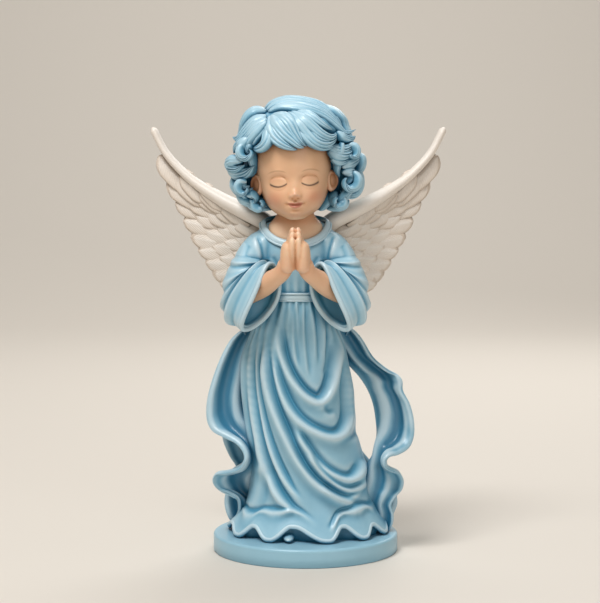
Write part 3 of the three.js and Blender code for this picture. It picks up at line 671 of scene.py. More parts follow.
def face(x, z):
    """How far the face stands out from the skull."""
    total = 1.3 * bell(x, 4.4) * bell(z - CHIN, 2.8)
    total = total + 0.8 * bell(x, 2.4) * bell(z - BRIDGE, 4)
    total = total + 2.8 * bell(x, 2.2) * bell(z - NOSE_TIP, 2.1)
    total = total - 0.6 * bell(x, 0.8) * bell(z - 193.8, 1.1)
    for side in (-1, 1):
        u = (x - side * EYE_APART) / EYE_HALF
        total = total + 1.6 * bell(x - side * 10.5, 6) * bell(z - CHEEKS, 6)
        total = total - 1.3 * bell(x - side * EYE_APART, 5.6) * bell(z - EYE_LINE - 0.8, 4.4)
        dome = np.clip(1 - u**2 - ((z - EYE_LINE - 0.1) / 3.9) ** 2, 0, None) ** 0.8
        total = total + 1.3 * dome * (1 - 0.4 * step(lash_line(u) - z, -0.1, 0.5))
        total = total - 0.35 * bell(z - EYE_LINE - 3.3 + 1.2 * u**2, 0.6) * step(1.0 - np.abs(u), 0, 0.4)
        total = total + 0.5 * bell(z - 209.6 + 1.6 * u**2, 1.8) * bell(u, 1.1)
        total = total + 0.9 * bell(x - side * 2.2, 1.2) * bell(z - NOSE_TIP + 0.8, 1.2)
        total = total - 0.6 * bell(x - side * 1.4, 0.7) * bell(z - NOSE_TIP + 2.2, 0.6)
        total = total - 0.5 * bell(x - side * 4.5, 1.1) * bell(z - MOUTH_LINE - 0.4, 1.2)
    smile = MOUTH_LINE + 0.028 * x**2
    total = total + 1.0 * bell(x, 3.1) * bell(z - smile - 0.95, 0.9)
    total = total + 1.1 * bell(x, 2.6) * bell(z - smile + 1.25, 1.0)
    total = total - 1.0 * bell(x, 3.7) * bell(z - smile, 0.4)
    return total - 0.5 * bell(x, 3.4) * bell(z - MOUTH_LINE + 3.3, 0.8)


def face_paint(x, z, front):
    """Where the blush, the lips, the lashes and the brows are painted."""
    blush, ink, brow = np.full(x.shape, 0.05), np.zeros(x.shape), np.zeros(x.shape)
    for side in (-1, 1):
        u = (x - side * EYE_APART) / EYE_HALF
        inside = step(1.06 - np.abs(u), 0, 0.12)
        blush = blush + 0.9 * bell(x - side * 11, 4.8) * bell(z - 195, 4.4)
        blush = blush + 0.25 * bell(x - side * EYE_APART, 5) * bell(z - EYE_LINE - 2.6, 1.6)
        thick = 0.4 + 0.16 * np.clip(side * u, 0, 1)
        ink = np.maximum(ink, inside * bell(z - lash_line(u), thick))
        arch = BROW_LINE - 1.7 * ((x - side * 8.8) / 5.8) ** 2
        ends = step(1 - np.abs(x - side * 9) / 5.8, 0, 0.5)
        brow = np.maximum(brow, 0.7 * ends * bell(z - arch, 0.36))
    smile = MOUTH_LINE + 0.028 * x**2
    upper = (1.5 - 0.35 * bell(x, 0.9)) * np.sqrt(np.clip(1 - (x / 4.3) ** 2, 0, 1))
    lower = 2.0 * np.sqrt(np.clip(1 - (x / 3.6) ** 2, 0, 1))
    lip = step(upper - (z - smile), -0.2, 0.5) * step(lower + (z - smile), -0.2, 0.6)
    lip = lip * (np.abs(x) < 4.4)
    blush = blush + 0.5 * bell(x, 2.6) * bell(z - NOSE_TIP + 0.4, 1.8)
    blush = blush + 0.3 * bell(x, 4) * bell(z - CHIN, 2)
    # The brow colour also darkens the line where the lips meet.
    deep = bell(z - smile, 0.3) * step(1 - np.abs(x) / 4.3, 0, 0.25)
    keep = front > 0.35
    return {"blush": np.clip(blush, 0, 1) * keep, "lip": lip * keep, "ink": ink * keep,
            "brow": np.maximum(brow, 0.8 * deep) * keep}


def head():
    turn = angles(count(224), 0.62)
    plain = egg(SKULL, down(SKULL, 196), turn, flat=0.9)
    front = np.broadcast_to(np.cos(turn), plain.shape[:2])
    x, z = plain[..., 0] - BODY_X, plain[..., 2]
    plain[..., 1] -= face(x, z) * step(front, 0.1, 0.45)
    return skin(plain, **face_paint(x, z, front))


def tilted(shell):
    """A shell of the head, leant a little to the figure's right."""
    lean, around = math.radians(HEAD_LEAN), np.array([BODY_X, 0, NECK_TOP])
    x, y, z = (shell["points"] - around).T
    turned = points_at(x * math.cos(lean) - z * math.sin(lean), y, x * math.sin(lean) + z * math.cos(lean))
    return {**shell, "points": turned + around}


def ear():
    """An ear as a rounded leaf with a rolled rim, on the -X side."""
    turn = angles(count(40))
    rows = []
    for lap in np.linspace(0, math.pi, count(18)):
        size = math.sin(lap) + 0.02
        out = 1.5 * math.cos(lap)
        rim = 1.1 * math.exp(-(((size - 0.82) / 0.16) ** 2)) if out > 0 else 0
        y = EAR_DEEP * size * np.cos(turn)
        z = EAR_TALL * size * np.sin(turn) * (1 - 0.18 * np.cos(turn))
        x = BODY_X - EAR_OUT - 0.7 * out - 0.6 * rim - 0.95 * y
        rows.append(points_at(x, EAR_BACK + y - 0.7 * out - 0.8 * rim, EAR_HEIGHT + z))
    return skin(np.stack(rows), **{**BARE, "blush": 0.35})


# Hair: a mass over the skull, with locks laid over it. Each lock is a bundle of strands.

HAIR_MIDDLE = np.array([BODY_X, 2, 215.0])
HAIR = [
    (246.4, BODY_X + 2, 7, 5, 7),
    (240.4, BODY_X + 1, 20, 17, 20),
    (231, BODY_X, 26, 23, 27),
    (219, BODY_X, 28.5, 17, 29.5),
    (207, BODY_X, 29, 8, 29),
    (196, BODY_X, 26, 0.6, 25.5),
    (188, BODY_X, 15, 0.6, 17),
]
# Locks that fall over the forehead: half width, depth and a line in X and Z with its lift off the hair
FRONT_LOCKS = [
    (4.1, 3, [(-19, 238.6, 0.6), (-18.7, 232.7, 1.6), (-16.5, 227.9, 2.4), (-12.1, 223.9, 2.6),
              (-6.8, 221.5, 2), (-4.4, 221, 1)]),
    (4.3, 3.2, [(-18.1, 238.9, 0.8), (-14.8, 234.5, 2), (-10.8, 229.2, 3), (-5.9, 224.8, 3.4),
                (-3.4, 222.9, 3), (-0.7, 222, 1.2)]),
    (4.1, 3, [(-17.4, 239.3, 1), (-12.1, 238, 2.2), (-8, 234.4, 3.2), (-5.4, 229.6, 3.6),
              (-2.8, 225.4, 3), (0.5, 222.7, 1.2)]),
    (3.6, 2.8, [(-6.4, 236.2, 0.6), (-3.1, 231.4, 1.6), (0.9, 227, 2.4), (6.2, 223.5, 2.4),
                (11.1, 222.3, 2), (15.5, 223.5, 1)]),
    (4, 3, [(-9.3, 240.6, 0.6), (-3.5, 235.3, 2), (0.9, 230.1, 3), (5.3, 225.7, 3.4), (10.2, 224.1, 3.2),
            (14.6, 225.7, 2.6), (16.5, 228.7, 1.4)]),
    (3.8, 3, [(-7.5, 241.1, 1), (-1.3, 236.7, 2.4), (3.5, 232.7, 3.6), (8, 229.2, 4.2), (12.4, 227.4, 4),
              (15.5, 228.5, 3.2), (15.7, 230.5, 1.6)]),
    (3.3, 2.6, [(-5.3, 241.5, 1), (1.8, 238.9, 2.6), (6.6, 235.8, 3.8), (10.6, 233.1, 4.2),
                (14.4, 231.2, 3)]),
    (4, 2.8, [(-19.6, 236.2, 0.6), (-19.6, 230.9, 1.8), (-20.3, 226.1, 2.4), (-22.3, 223, 2.4),
              (-25.4, 221.5, 1.8), (-29, 222.2, 0.8)]),
    (3.3, 2.6, [(-20.3, 235.1, 0.6), (-23.2, 230.9, 2.2), (-26.1, 227.4, 3), (-27.8, 224.6, 3),
                (-29, 222.7, 1.6)]),
]
# Locks round the sides and over the crown: half width, depth and a line in X, Z and depth
SIDE_LOCKS = [
    (5, 3, [(-21, 241, -9), (-26.5, 241.6, -8.5), (-30.6, 239.4, -8), (-33.2, 235.4, -7),
            (-35, 230.4, -6), (-37.4, 226.4, -6)]),
    (5, 3.2, [(-20.7, 238.6, -15), (-27, 235.7, -13.8), (-31.5, 231.5, -12.6), (-34.9, 228, -11.4),
              (-37.4, 226.9, -10.2), (-39.6, 228.1, -9)]),
    (4.8, 3.2, [(-20.4, 237, -19), (-25.1, 234.1, -17.4), (-30, 229.3, -15.8), (-34.1, 225.3, -14.2),
                (-37.5, 222.6, -12.6), (-38.9, 219, -11)]),
    (3.7, 3.2, [(-20.6, 235.8, -21), (-26.4, 230.1, -19.6), (-30.9, 225.2, -18.2), (-34.5, 221.3, -16.8),
                (-36.1, 217.3, -15.4), (-34.1, 214.1, -14)]),
    (3.7, 3.2, [(-30.4, 227, -20), (-33.3, 224.4, -18.5), (-34.4, 220.6, -17), (-33.2, 217.5, -16.5),
                (-30.5, 216.8, -17), (-28.4, 219, -18)]),
    (2.4, 2.4, [(-28.4, 224.8, -19), (-30.9, 222.1, -19), (-30.6, 219.7, -19), (-28.4, 219, -19)]),
    (3.5, 3.2, [(-34.3, 215, -15), (-37.8, 215.5, -12), (-40.8, 213.9, -9), (-40.2, 211.6, -9),
                (-36.7, 210.8, -12), (-32.8, 213, -15)]),
    (4.2, 3.4, [(-41.7, 210.7, -5), (-38.9, 209.1, -7), (-34.8, 208.3, -9.5), (-30.6, 209.2, -12),
                (-27.6, 212.3, -15)]),
    (3.8, 3.2, [(-38.8, 206.8, -3), (-38.3, 202.3, -4), (-35.8, 198.5, -6), (-31.7, 198.4, -8),
                (-28.3, 200.6, -9)]),
    (2.6, 2.4, [(-35, 205.6, -10), (-34.5, 202.7, -10.3), (-32.5, 200.9, -10.7), (-30.2, 201.6, -11)]),
    (3.8, 3.2, [(-37.3, 198.7, -2), (-33.9, 194.6, -3), (-29.1, 192.4, -5), (-24.5, 192.9, -6),
                (-20.7, 190.2, -7)]),
    (2.2, 2.4, [(-32.1, 196.6, -9), (-28.7, 196.8, -9.2), (-27.1, 194.6, -9.5), (-28.5, 192.8, -9.8),
                (-30.5, 193.9, -10)]),
    (3.5, 3, [(-32.4, 192.7, 0), (-27.3, 190.5, -1.7), (-22.8, 189.7, -3.3), (-19.1, 188.7, -5)]),
    (4.6, 3.2, [(-19.8, 240.9, -12), (-14, 243.3, -13), (-6, 243.2, -14), (2.6, 241.6, -15),
                (10, 238.6, -15), (16.6, 233.7, -14), (21.5, 230, -12.5), (27.3, 232, -12)]),
    (5.4, 3.2, [(-22.3, 241.5, -2), (-17.7, 245.6, -2), (-9.5, 247.4, -1), (0, 246.8, -2), (8, 244.6, -4),
                (15, 239.6, -6), (20, 233, -7)]),
    (5, 3.2, [(-21.2, 241.4, -8), (-15.8, 244.8, -8), (-8.2, 245.6, -8), (2, 244.4, -9.5),
              (11, 240.8, -11), (19.8, 232.4, -11)]),
    (2.9, 2.6, [(16.5, 230.6, -16), (20.1, 227.5, -14), (24.2, 226.8, -12), (27, 228.6, -10)]),
    (3.5, 3, [(11.1, 223.5, -18), (15.2, 221, -16.2), (19.7, 221, -14.5), (23.8, 223, -12.8),
              (26, 225.5, -11)]),
    (3.4, 3, [(12, 220.4, -18), (16.5, 218.1, -16), (21.1, 218.4, -14), (24.7, 220.8, -12),
              (26.3, 223.5, -10)]),
    (2.9, 2.6, [(13.8, 215.9, -17), (17.9, 215, -14.3), (22, 216.3, -11.7), (24.8, 219.5, -9)]),
    (3.5, 3, [(19.3, 211.9, -12), (23.9, 213.9, -10), (28, 215.9, -7), (30.9, 215.9, -6)]),
    (3.7, 3.2, [(26.3, 218.6, -4), (29.7, 215.9, -4), (29.7, 211.8, -4), (27.6, 209.1, -5),
                (24.8, 209.6, -7)]),
    (3.4, 3, [(19.8, 209.2, -12), (23.6, 208.9, -10), (24.8, 205.8, -9), (23, 202.9, -10),
              (19.4, 201.6, -11)]),
    (4, 3.4, [(27.7, 211.8, -3), (28.6, 205.9, -2), (28.6, 200.9, -2), (26.3, 197.3, -3),
              (21.8, 196.9, -5), (18.6, 198.8, -7)]),
    (2.7, 2.6, [(26.2, 205.1, -8), (26.9, 202, -8.3), (24.4, 199.5, -8.7), (20.8, 199.1, -9)]),
    (3.8, 3.2, [(15.4, 198.7, -5), (15.9, 193.8, -5.7), (18.6, 191.6, -6.3), (21.7, 193.8, -7)]),
    (3.5, 3, [(14.1, 197.8, -3), (12.3, 193.7, -3.7), (9.6, 190.1, -4.3), (7.5, 187.9, -5)]),
    (3.7, 3, [(23.2, 194.1, -1), (20, 191, -2), (15.5, 189.7, -3), (11.4, 188.8, -4)]),
    (2.9, 2.8, [(-31, 225, -16), (-29.6, 219.5, -15), (-28.4, 214.6, -13), (-28, 210, -11),
                (-29.4, 206, -9)]),
    (2.9, 2.8, [(19.6, 225, -16), (18.4, 219.5, -15), (17.4, 214.6, -13), (17, 210, -11), (18.4, 206, -9)]),
]
# Curls beside the face: middle in X, depth and Z, size, angle of the start and which way it rolls
CURLS = [(-31.4, -20.5, 219.6, 4.6, 1.9, 1), (-33.4, -12, 200.2, 4.2, 1.2, 1),
         (-25, -9.5, 191.8, 3.4, 2.6, 1), (23.6, -12, 204, 5.6, 1.2, -1),
         (17.6, -10, 193.4, 3.4, 0.6, -1), (24.6, -13, 219.6, 4.0, 2.2, -1)]
CURL_DEEP, CURL_TURN = 2.4, 5.4  # depth of a curl's lock, and how far it rolls in radians
# Tiers of locks over the back: start and end height, number and shift along the tier
BACK_TIERS = [(245, 222, 7, 0.0), (238, 210, 9, 0.5), (228, 201, 10, 0.1), (216, 193, 10, 0.6),
              (206, 187, 10, 0.2)]
TIER_START, TIER_SWEEP = 78, 204  # degrees from the front, round the back to the other side
BACK_LOCK_HALF, BACK_LOCK_DEEP, FLICK = 6.2, 3.0, 3.2  # flick is how far a tip turns up
TEMPLE_REACH = 22  # how far forward the first and last locks of a tier lie at most
# Grooves across a lock, from -1 to 1, with their depth
LOCK_GROOVES = [(-0.55, 0.9), (-0.02, 1.2), (0.48, 1.0)]
FRINGE_GROOVES = [(-0.34, 1.0), (0.36, 0.9)]


def on_hair(x, z, lift):
    """Points in front of the forehead and the hair, lifted off them."""
    middle, width, front, _ = np.moveaxis(row_at(HAIR, z), -1, 0)
    brow = row_at(SKULL, z)[..., 2] + 0.6
    inside = np.sqrt(np.clip(1 - ((x - middle) / (width + 1)) ** 2, 0.02, 1))
    return points_at(x, -np.maximum(front, brow) * inside - lift, z)


def lock(wide, deep, line, grooves=LOCK_GROOVES):
    """A lock of hair along a line: broad and domed, pointed at its tip and grooved along its strands."""
    path = through(line, count(30))
    share = np.linspace(0, 1, len(path))[:, None]
    along = unit(np.gradient(path, axis=0))
    side = unit(np.cross(along, unit(path - HAIR_MIDDLE)))
    over = np.cross(side, along)
    turn = np.pi / 2 + angles(count(32), 0.45)[None, :]  # the points crowd on the side that shows
    across, up = np.cos(turn), np.sin(turn)
    size = np.minimum(1, ((share + 0.03) / 0.3) ** 0.6) * np.clip(1 - share**2.6, 0.004, 1) ** 0.9
    drift = 0.12 * np.sin(4 * share + 3 * wide)
    groove = sum(depth * bell(across - place - drift, 0.13) for place, depth in grooves) * step(up, 0, 0.35)
    groove = groove * (0.2 * step(share, 0.02, 0.2) + 0.8 * step(share, 0.2, 0.65))
    dome = np.sign(up) * np.abs(up) ** 0.75 * (1 - 0.32 * groove)
    rings = path[:, None] + (wide * size * across)[..., None] * side[:, None]
    rings = rings + (1.1 * deep * size**0.7 * dome)[..., None] * over[:, None]
    # The lock's outer face is lighter as a painted highlight, its underside and grooves darker as painted
    # shade.
    relief = 0.22 + 0.5 * step(up, -0.1, 0.95) - 0.34 * groove
    return skin(rings, relief=np.clip(relief, 0, 1))


def curl(x, y, z, size, start, way):
    """The line of a lock that rolls up."""
    t = np.linspace(0, 1, 12)
    turn = start + way * CURL_TURN * t
    reach = size * (1 - 0.6 * t)
    return points_at(x + reach * np.cos(turn), y - 1.8 * t, z + reach * np.sin(turn))


def back_locks():
    """Wavy locks, each with a sway of its own, whose tips flick up."""
    shells = []
    t = np.linspace(0, 1, 7)
    for tier, (start, end, number, shift) in enumerate(BACK_TIERS):
        for k in range(number):
            own = 0.55 * k + 1.9 * tier
            z = start + (end - start) * t + 1.5 * math.sin(own)
            way = math.radians(TIER_START + TIER_SWEEP * (k + shift) / number)
            way = way + 0.17 * np.sin(4.4 * t + own) + 0.06 * t * math.sin(5 * own)
            middle, width, _, back = row_at(HAIR, z).T
            proud = 0.8 + 1.4 * t + 2 * t**6
            reach = np.where(np.cos(way) < 0, back, np.minimum(back, TEMPLE_REACH)) + proud
            line = points_at(middle + (width + proud) * np.sin(way), -reach * np.cos(way), z)
            line[-1, 2] += FLICK
            shells.append(lock(BACK_LOCK_HALF, BACK_LOCK_DEEP, line))
    return shells


def hair():
    turn = angles(count(100))
    heights = down(HAIR, 56)
    swell = 0.4 * np.cos(26 * turn + 0.12 * (heights[:, None] - 215)) - 1.0
    swell = swell + 3.0 * step(heights, 226, 233)[:, None] * step(np.cos(turn), 0.1, 0.6)[None, :]
    # The mass under the locks takes a dark tone as painted shade between them.
    shells = [skin(egg(HAIR, heights, turn, swell), relief=0.3)]
    for wide, deep, line in FRONT_LOCKS:
        shells.append(lock(wide, deep, on_hair(*np.array(line, float).T), FRINGE_GROOVES))
    for wide, deep, line in SIDE_LOCKS:
        shells.append(lock(wide, deep, [(x, y, z) for x, z, y in line]))
    shells += [lock(0.5 * size, CURL_DEEP, curl(x, y, z, size, start, way))
               for x, y, z, size, start, way in CURLS]
    return shells + back_locks()


# Hands: each forearm, palm and finger is a bar, and the bars are then melted into one skin.

FOREARM = [(-36, -12, 141), (-29.8, -16.4, 144.4), (-23.8, -23.4, 148), (-17.8, -31, 152),
           (-12.6, -37, 156.2), (-10.4, -39.4, 160.6)]
# Each finger, from the little one in front: depth, height of its tip and how far out it lies at three heights
FINGERS = [(-44.6, 176.4, 2.4, 1.9, 1.55), (-42.4, 179.6, 4.2, 3.3, 1.95), (-39.9, 181.8, 5.4, 4.5, 2.2),
           (-37.2, 180.4, 6.0, 5.2, 2.5)]
THUMB = [(BODY_X - 5.8, -33.8, 157.6), (BODY_X - 4.6, -32, 163), (BODY_X - 3.2, -31.2, 167.6),
         (BODY_X - 1.9, -31.6, 171.4)]
PALM = [(BODY_X - 4.4, -38.4, 156.4), (BODY_X - 4.2, -39.4, 161), (BODY_X - 4, -40.4, 167),
        (BODY_X - 3.1, -40.4, 173)]
FINGER_HALF, THUMB_HALF, PALM_HALF = 2.0, 2.5, 4.4


def tapered(share, start):
    """Thickness of a bar that ends in a round tip, as a share of its whole thickness."""
    return np.sqrt(np.clip(1 - np.clip((share - start) / (1.01 - start), 0, 1) ** 2, 0.02, 1))


def arm():
    """The forearm and hand on the -X side. The hand's palm lies against the other one at BODY_X."""
    n = count(40)
    share = np.linspace(0, 1, n)
    thick = 6.2 - 1.7 * step(share, 0.3, 0.9) + 0.4 * bell(share - 0.5, 0.2)
    shells = [skin(bar(through(FOREARM, n), thick, count(32)))]
    thick = PALM_HALF * np.sqrt(np.clip(1 - (2 * share - 1) ** 6, 0.02, 1)) * (1 - 0.16 * share)
    shells.append(skin(bar(through(PALM, n), thick, count(36), flat=1.5, up=BACK)))
    for y, top, low, middle, high in FINGERS:
        line = [(BODY_X - low, y + 3.6, 158), (BODY_X - middle, y, 168), (BODY_X - high, y, 174),
                (BODY_X - 1.3, y + 0.3, top - 1.4)]
        joint = 1 + 0.03 * bell(share - 0.5, 0.07) + 0.03 * bell(share - 0.76, 0.06)
        thick = FINGER_HALF * (1.1 - 0.3 * share) * tapered(share, 0.88) * joint
        shells.append(skin(bar(through(line, n), thick, count(24))))
    thick = THUMB_HALF * (1.12 - 0.32 * share) * tapered(share, 0.86)
    return shells + [skin(bar(through(THUMB, n), thick, count(24)))]


def hands():
    mesh = fused("hands", pair(arm()), cell=0.5, rounds=3)
    x, _, z = (read(mesh.vertices, "co", 3) / MM).T
    blush = 0.1 + 0.35 * step(z, 174, 181) + 0.25 * bell(z - 158, 5)
    for name, value in {**BARE, "blush": blush}.items():
        set_paint(mesh, name, np.broadcast_to(value, x.shape))
    return mesh


# Wings: feathers fan out from the arm, row over row, on both faces of the wing. Each wing lies in a plane
# that leans back from the body, with its arm as a thick rim along the top.

WING_X = -4  # the wings mirror each other here
WING_BACK, WING_LEAN = 12.3, 0.3  # depth at the body and how fast the wing runs back
# Lines in X and Z: the arm, the middle of the web, and the tips and roots of the feathers of one row
WING_ARM = [(-10, 166), (-20, 181), (-34, 188.5), (-45, 193.5), (-59, 201), (-69, 208.5), (-79, 219.5),
            (-86.5, 233.5)]
WING_WEB = [(-12, 156), (-24, 164), (-36, 172), (-48, 183), (-60, 194), (-72, 207)]
FEATHER_TIPS = [(-84, 219), (-78.4, 203.6), (-73, 189.6), (-68, 178.6), (-63.3, 169), (-58.5, 160.8),
                (-54, 153.5), (-49.5, 147.2), (-43.5, 141.4), (-36, 138.6)]
FEATHER_ROOTS = [(-58, 202), (-48, 194), (-41, 185), (-35, 178), (-30, 171), (-26, 165), (-22, 159),
                 (-19, 154), (-16, 150), (-14, 147)]
# Each row's number of feathers, where it starts and ends on the way from root to tip, and its half width
FEATHER_ROWS = [(11, 0.0, 1.0, 6.2), (10, -0.12, 0.72, 5.8), (10, -0.25, 0.47, 5.2),
                (9, -0.35, 0.25, 4.8), (9, -0.5, 0.04, 4.4)]
BACK_ROWS = 3  # of these rows, how many there are on the wing's back
FEATHER_STEP = 0.8  # how much further out each row lies than the one under it
SHORTEST = 10  # length of a feather at least
ARM_FORWARD, ARM_DEEP = 2.2, 2.4  # how far the arm stands in front of the plane, and what its depth adds
ARM_HALF, WEB_HALF = 3.4, 11
UNDER_ARM, UNDER_BROAD = 4.5, 3  # how far below the arm the feathers start, and what its broad end adds


def on_wing(line):
    """A line in X and Z laid on the plane of the wing."""
    x, z = np.asarray(line, float).T
    return points_at(x, WING_BACK + WING_LEAN * (WING_X - x), z)


def under_arm(x):
    """The greatest height at which a feather may start at some X, below the wing's arm."""
    line = np.array(WING_ARM)[::-1]
    return np.interp(x, line[:, 0], line[:, 1]) - UNDER_ARM - UNDER_BROAD * step(x, -62, -30)


def feather(root, tip, half, lift, facing, own):
    """A feather as a thin rounded leaf with a raised quill.

    Facing is -1 on the wing's front and 1 on its back, and own sets this feather's bow apart."""
    t = np.linspace(0, 1, count(25 if facing < 0 else 18))[:, None]
    v = np.linspace(-1, 1, count(15 if facing < 0 else 11))[None, :]
    length = np.linalg.norm(tip - root)
    way = unit(tip - root)
    side = unit(np.cross(way, BACK))
    bow = length * np.sin(np.pi * t) * (0.06 + 0.03 * math.sin(own))
    blunt = np.sqrt(np.clip(1 - np.clip((t - 0.74) / 0.262, 0, 1) ** 2, 0, 1))
    wide = half * (0.5 + 0.5 * step(t, 0, 0.4)) * blunt
    across = root + (tip - root) * t[..., None] + side * bow[..., None] + (wide * v)[..., None] * side
    dome = 1.1 * (1 - v**2) ** 0.8 + 0.4 * bell(v, 0.12) * (1 - t**3) + 0.3 * v - 0.7 * step(t, 0.75, 1)
    dome = dome + 0.16 * np.sin(3.1 * v + 9 * t + own)
    outer = across + facing * BACK * (lift + dome)[..., None]
    inner = across + facing * BACK * (lift - 1.0)
    # Painted light: lighter along the quill and towards the tip as a painted highlight, darker at the edges,
    # the very end and the root, which the row above covers, as painted shade.
    relief = 0.64 - 0.34 * v**4 + 0.14 * bell(v, 0.12) + 0.14 * t
    relief = relief - 0.3 * step(t, 0.93, 1) - 0.22 * (1 - step(t, 0, 0.3))
    quill, aside = t * length + 0 * v, wide * v
    return skin(
        np.concatenate([outer, inner[:, ::-1]], axis=1),
        relief=np.concatenate([np.clip(relief, 0, 1), np.full(relief.shape, 0.5)], axis=1),
        quill=np.concatenate([quill, quill], axis=1),
        aside=np.concatenate([aside, -aside], axis=1),
    )


def wing():
    tips, roots = on_wing(FEATHER_TIPS), on_wing(FEATHER_ROOTS)
    plain = {"quill": 0.0, "aside": 0.0}
    shells = []
    for row, (number, start, end, half) in enumerate(FEATHER_ROWS):
        pitch = (len(tips) - 1) / number
        at = np.linspace(0.1, len(tips) - 1, number) + 0.5 * pitch * (row % 2) * np.linspace(1, 0, number)
        for k, (root, tip) in enumerate(zip(spline(roots, at), spline(tips, at))):
            reach = end * (1 + 0.025 * math.sin(2.9 * k + row)) if end < 1 else 1
            near, far = root + start * (tip - root), root + reach * (tip - root)
            if np.linalg.norm(far - near) < SHORTEST:
                near = far - SHORTEST * unit(tip - root)
            near = near + min(0.0, under_arm(near[0]) - near[2]) * UP
            lift, own = FEATHER_STEP * row, 2.1 * k + row
            shells.append(feather(near, far, half, lift + 0.2, -1, own))
            if row < BACK_ROWS:
                shells.append(feather(near, far - 0.6 * unit(tip - root), half - 0.3, lift + 0.4, 1, own))
    share = np.linspace(0, 1, count(80))
    broad = 1.6 * (1 - step(share, 0.25, 0.75))
    path = through(on_wing(WING_ARM), len(share)) - ARM_FORWARD * BACK - broad[:, None] * (0.4, 0, 1)
    blunt = np.sqrt(np.clip(1 - np.clip((share - 0.975) / 0.027, 0, 1) ** 2, 0.01, 1))
    thick = (ARM_HALF + broad - 1.3 * step(share, 0.1, 1)) * blunt
    rings = bar(path, thick, count(26), flat=1.55, up=BACK)
    # The arm takes a light tone, a painted highlight along the wing's top.
    shells += [skin(rings + deeper * BACK, relief=0.78, **plain) for deeper in (0, ARM_DEEP)]
    spread = WEB_HALF * (1 - 0.55 * share) * np.sqrt(np.clip(1 - (2 * share - 1) ** 6, 0.01, 1))
    web = bar(through(on_wing(WING_WEB), len(share)), spread, count(20), flat=0.08, up=BACK)
    # The web behind the feathers takes a dark tone as painted shade.
    return shells + [skin(web, relief=0.3, **plain)]


# Foot

FOOT_EDGE, FOOT_BOTTOM = 1.5, 0.5  # radius of the rounded top edge and width of the bottom's bevel


def foot():
    corner = np.linspace(0, np.pi / 2, count(12))
    profile = [(0.2, 0.0), (FOOT_RADIUS - 3, 0.0), (FOOT_RADIUS - FOOT_BOTTOM, 0.0)]
    profile += [(FOOT_RADIUS, FOOT_BOTTOM), (FOOT_RADIUS, FOOT_TOP / 2)]
    profile += [(FOOT_RADIUS - FOOT_EDGE * (1 - math.cos(a)), FOOT_TOP - FOOT_EDGE * (1 - math.sin(a)))
                for a in corner]
    profile += [(radius, FOOT_TOP) for radius in (FOOT_RADIUS - 3, FOOT_RADIUS - 8, 20, 0.2)]
    turn = angles(count(256))
    rings = [points_at(radius * np.sin(turn), -radius * np.cos(turn), z) for radius, z in profile]
    return skin(np.stack(rings), relief=0.55)


# Paint

def linear(code, alpha=1.0):
    """An sRGB hex colour as linear numbers."""
    parts = [int(code[i:i + 2], 16) / 255 for i in (1, 3, 5)]
    return (*[c / 12.92 if c <= 0.04045 else ((c + 0.055) / 1.055) ** 2.4 for c in parts], alpha)


def add(tree, kind, links=None, **settings):
    """A node with its settings and with the outputs that feed its inputs."""
    node = tree.nodes.new(kind)
    for name, value in settings.items():
        setattr(node, name, value)
    for name, value in (links or {}).items():
        socket = node.inputs[name]
        if isinstance(value, bpy.types.NodeSocket):
            tree.links.new(value, socket)
        else:
            socket.default_value = value
    return node


def ramp(tree, factor, stops):
    node = add(tree, "ShaderNodeValToRGB", {"Fac": factor})
    elements = node.color_ramp.elements
    for _ in range(len(stops) - 2):
        elements.new(0.5)
    for element, (position, code) in zip(elements, stops):
        element.position = position
        element.color = linear(code)
    return node.outputs["Color"]


SEALER = {"IOR": 1.5, "Coat Weight": 0.22, "Coat Roughness": 0.2, "Coat IOR": 1.5}
# In millimetres: a brush mark, the casting's grain, how deep a corner takes painted shade together with the
# wash that pools there, and the barbs' spacing
BRUSH, GRAIN, CORNER_SHADE, BARBS = 9, 0.9, 8, 1.9
# The darker tones are painted shade for the hollows and the lighter ones a painted highlight for the crests.
SHADING_STOPS = (0.05, 0.35, 0.6, 0.98)  # relief at each of a paint's four tones, from hollow to crest


def mix(tree, amount, one, other):
    """The first colour, and the other where the amount is 1."""
    node = add(tree, "ShaderNodeMix", {"Factor": amount, 6: one, 7: linear(other)}, data_type="RGBA")
    return node.outputs[2]


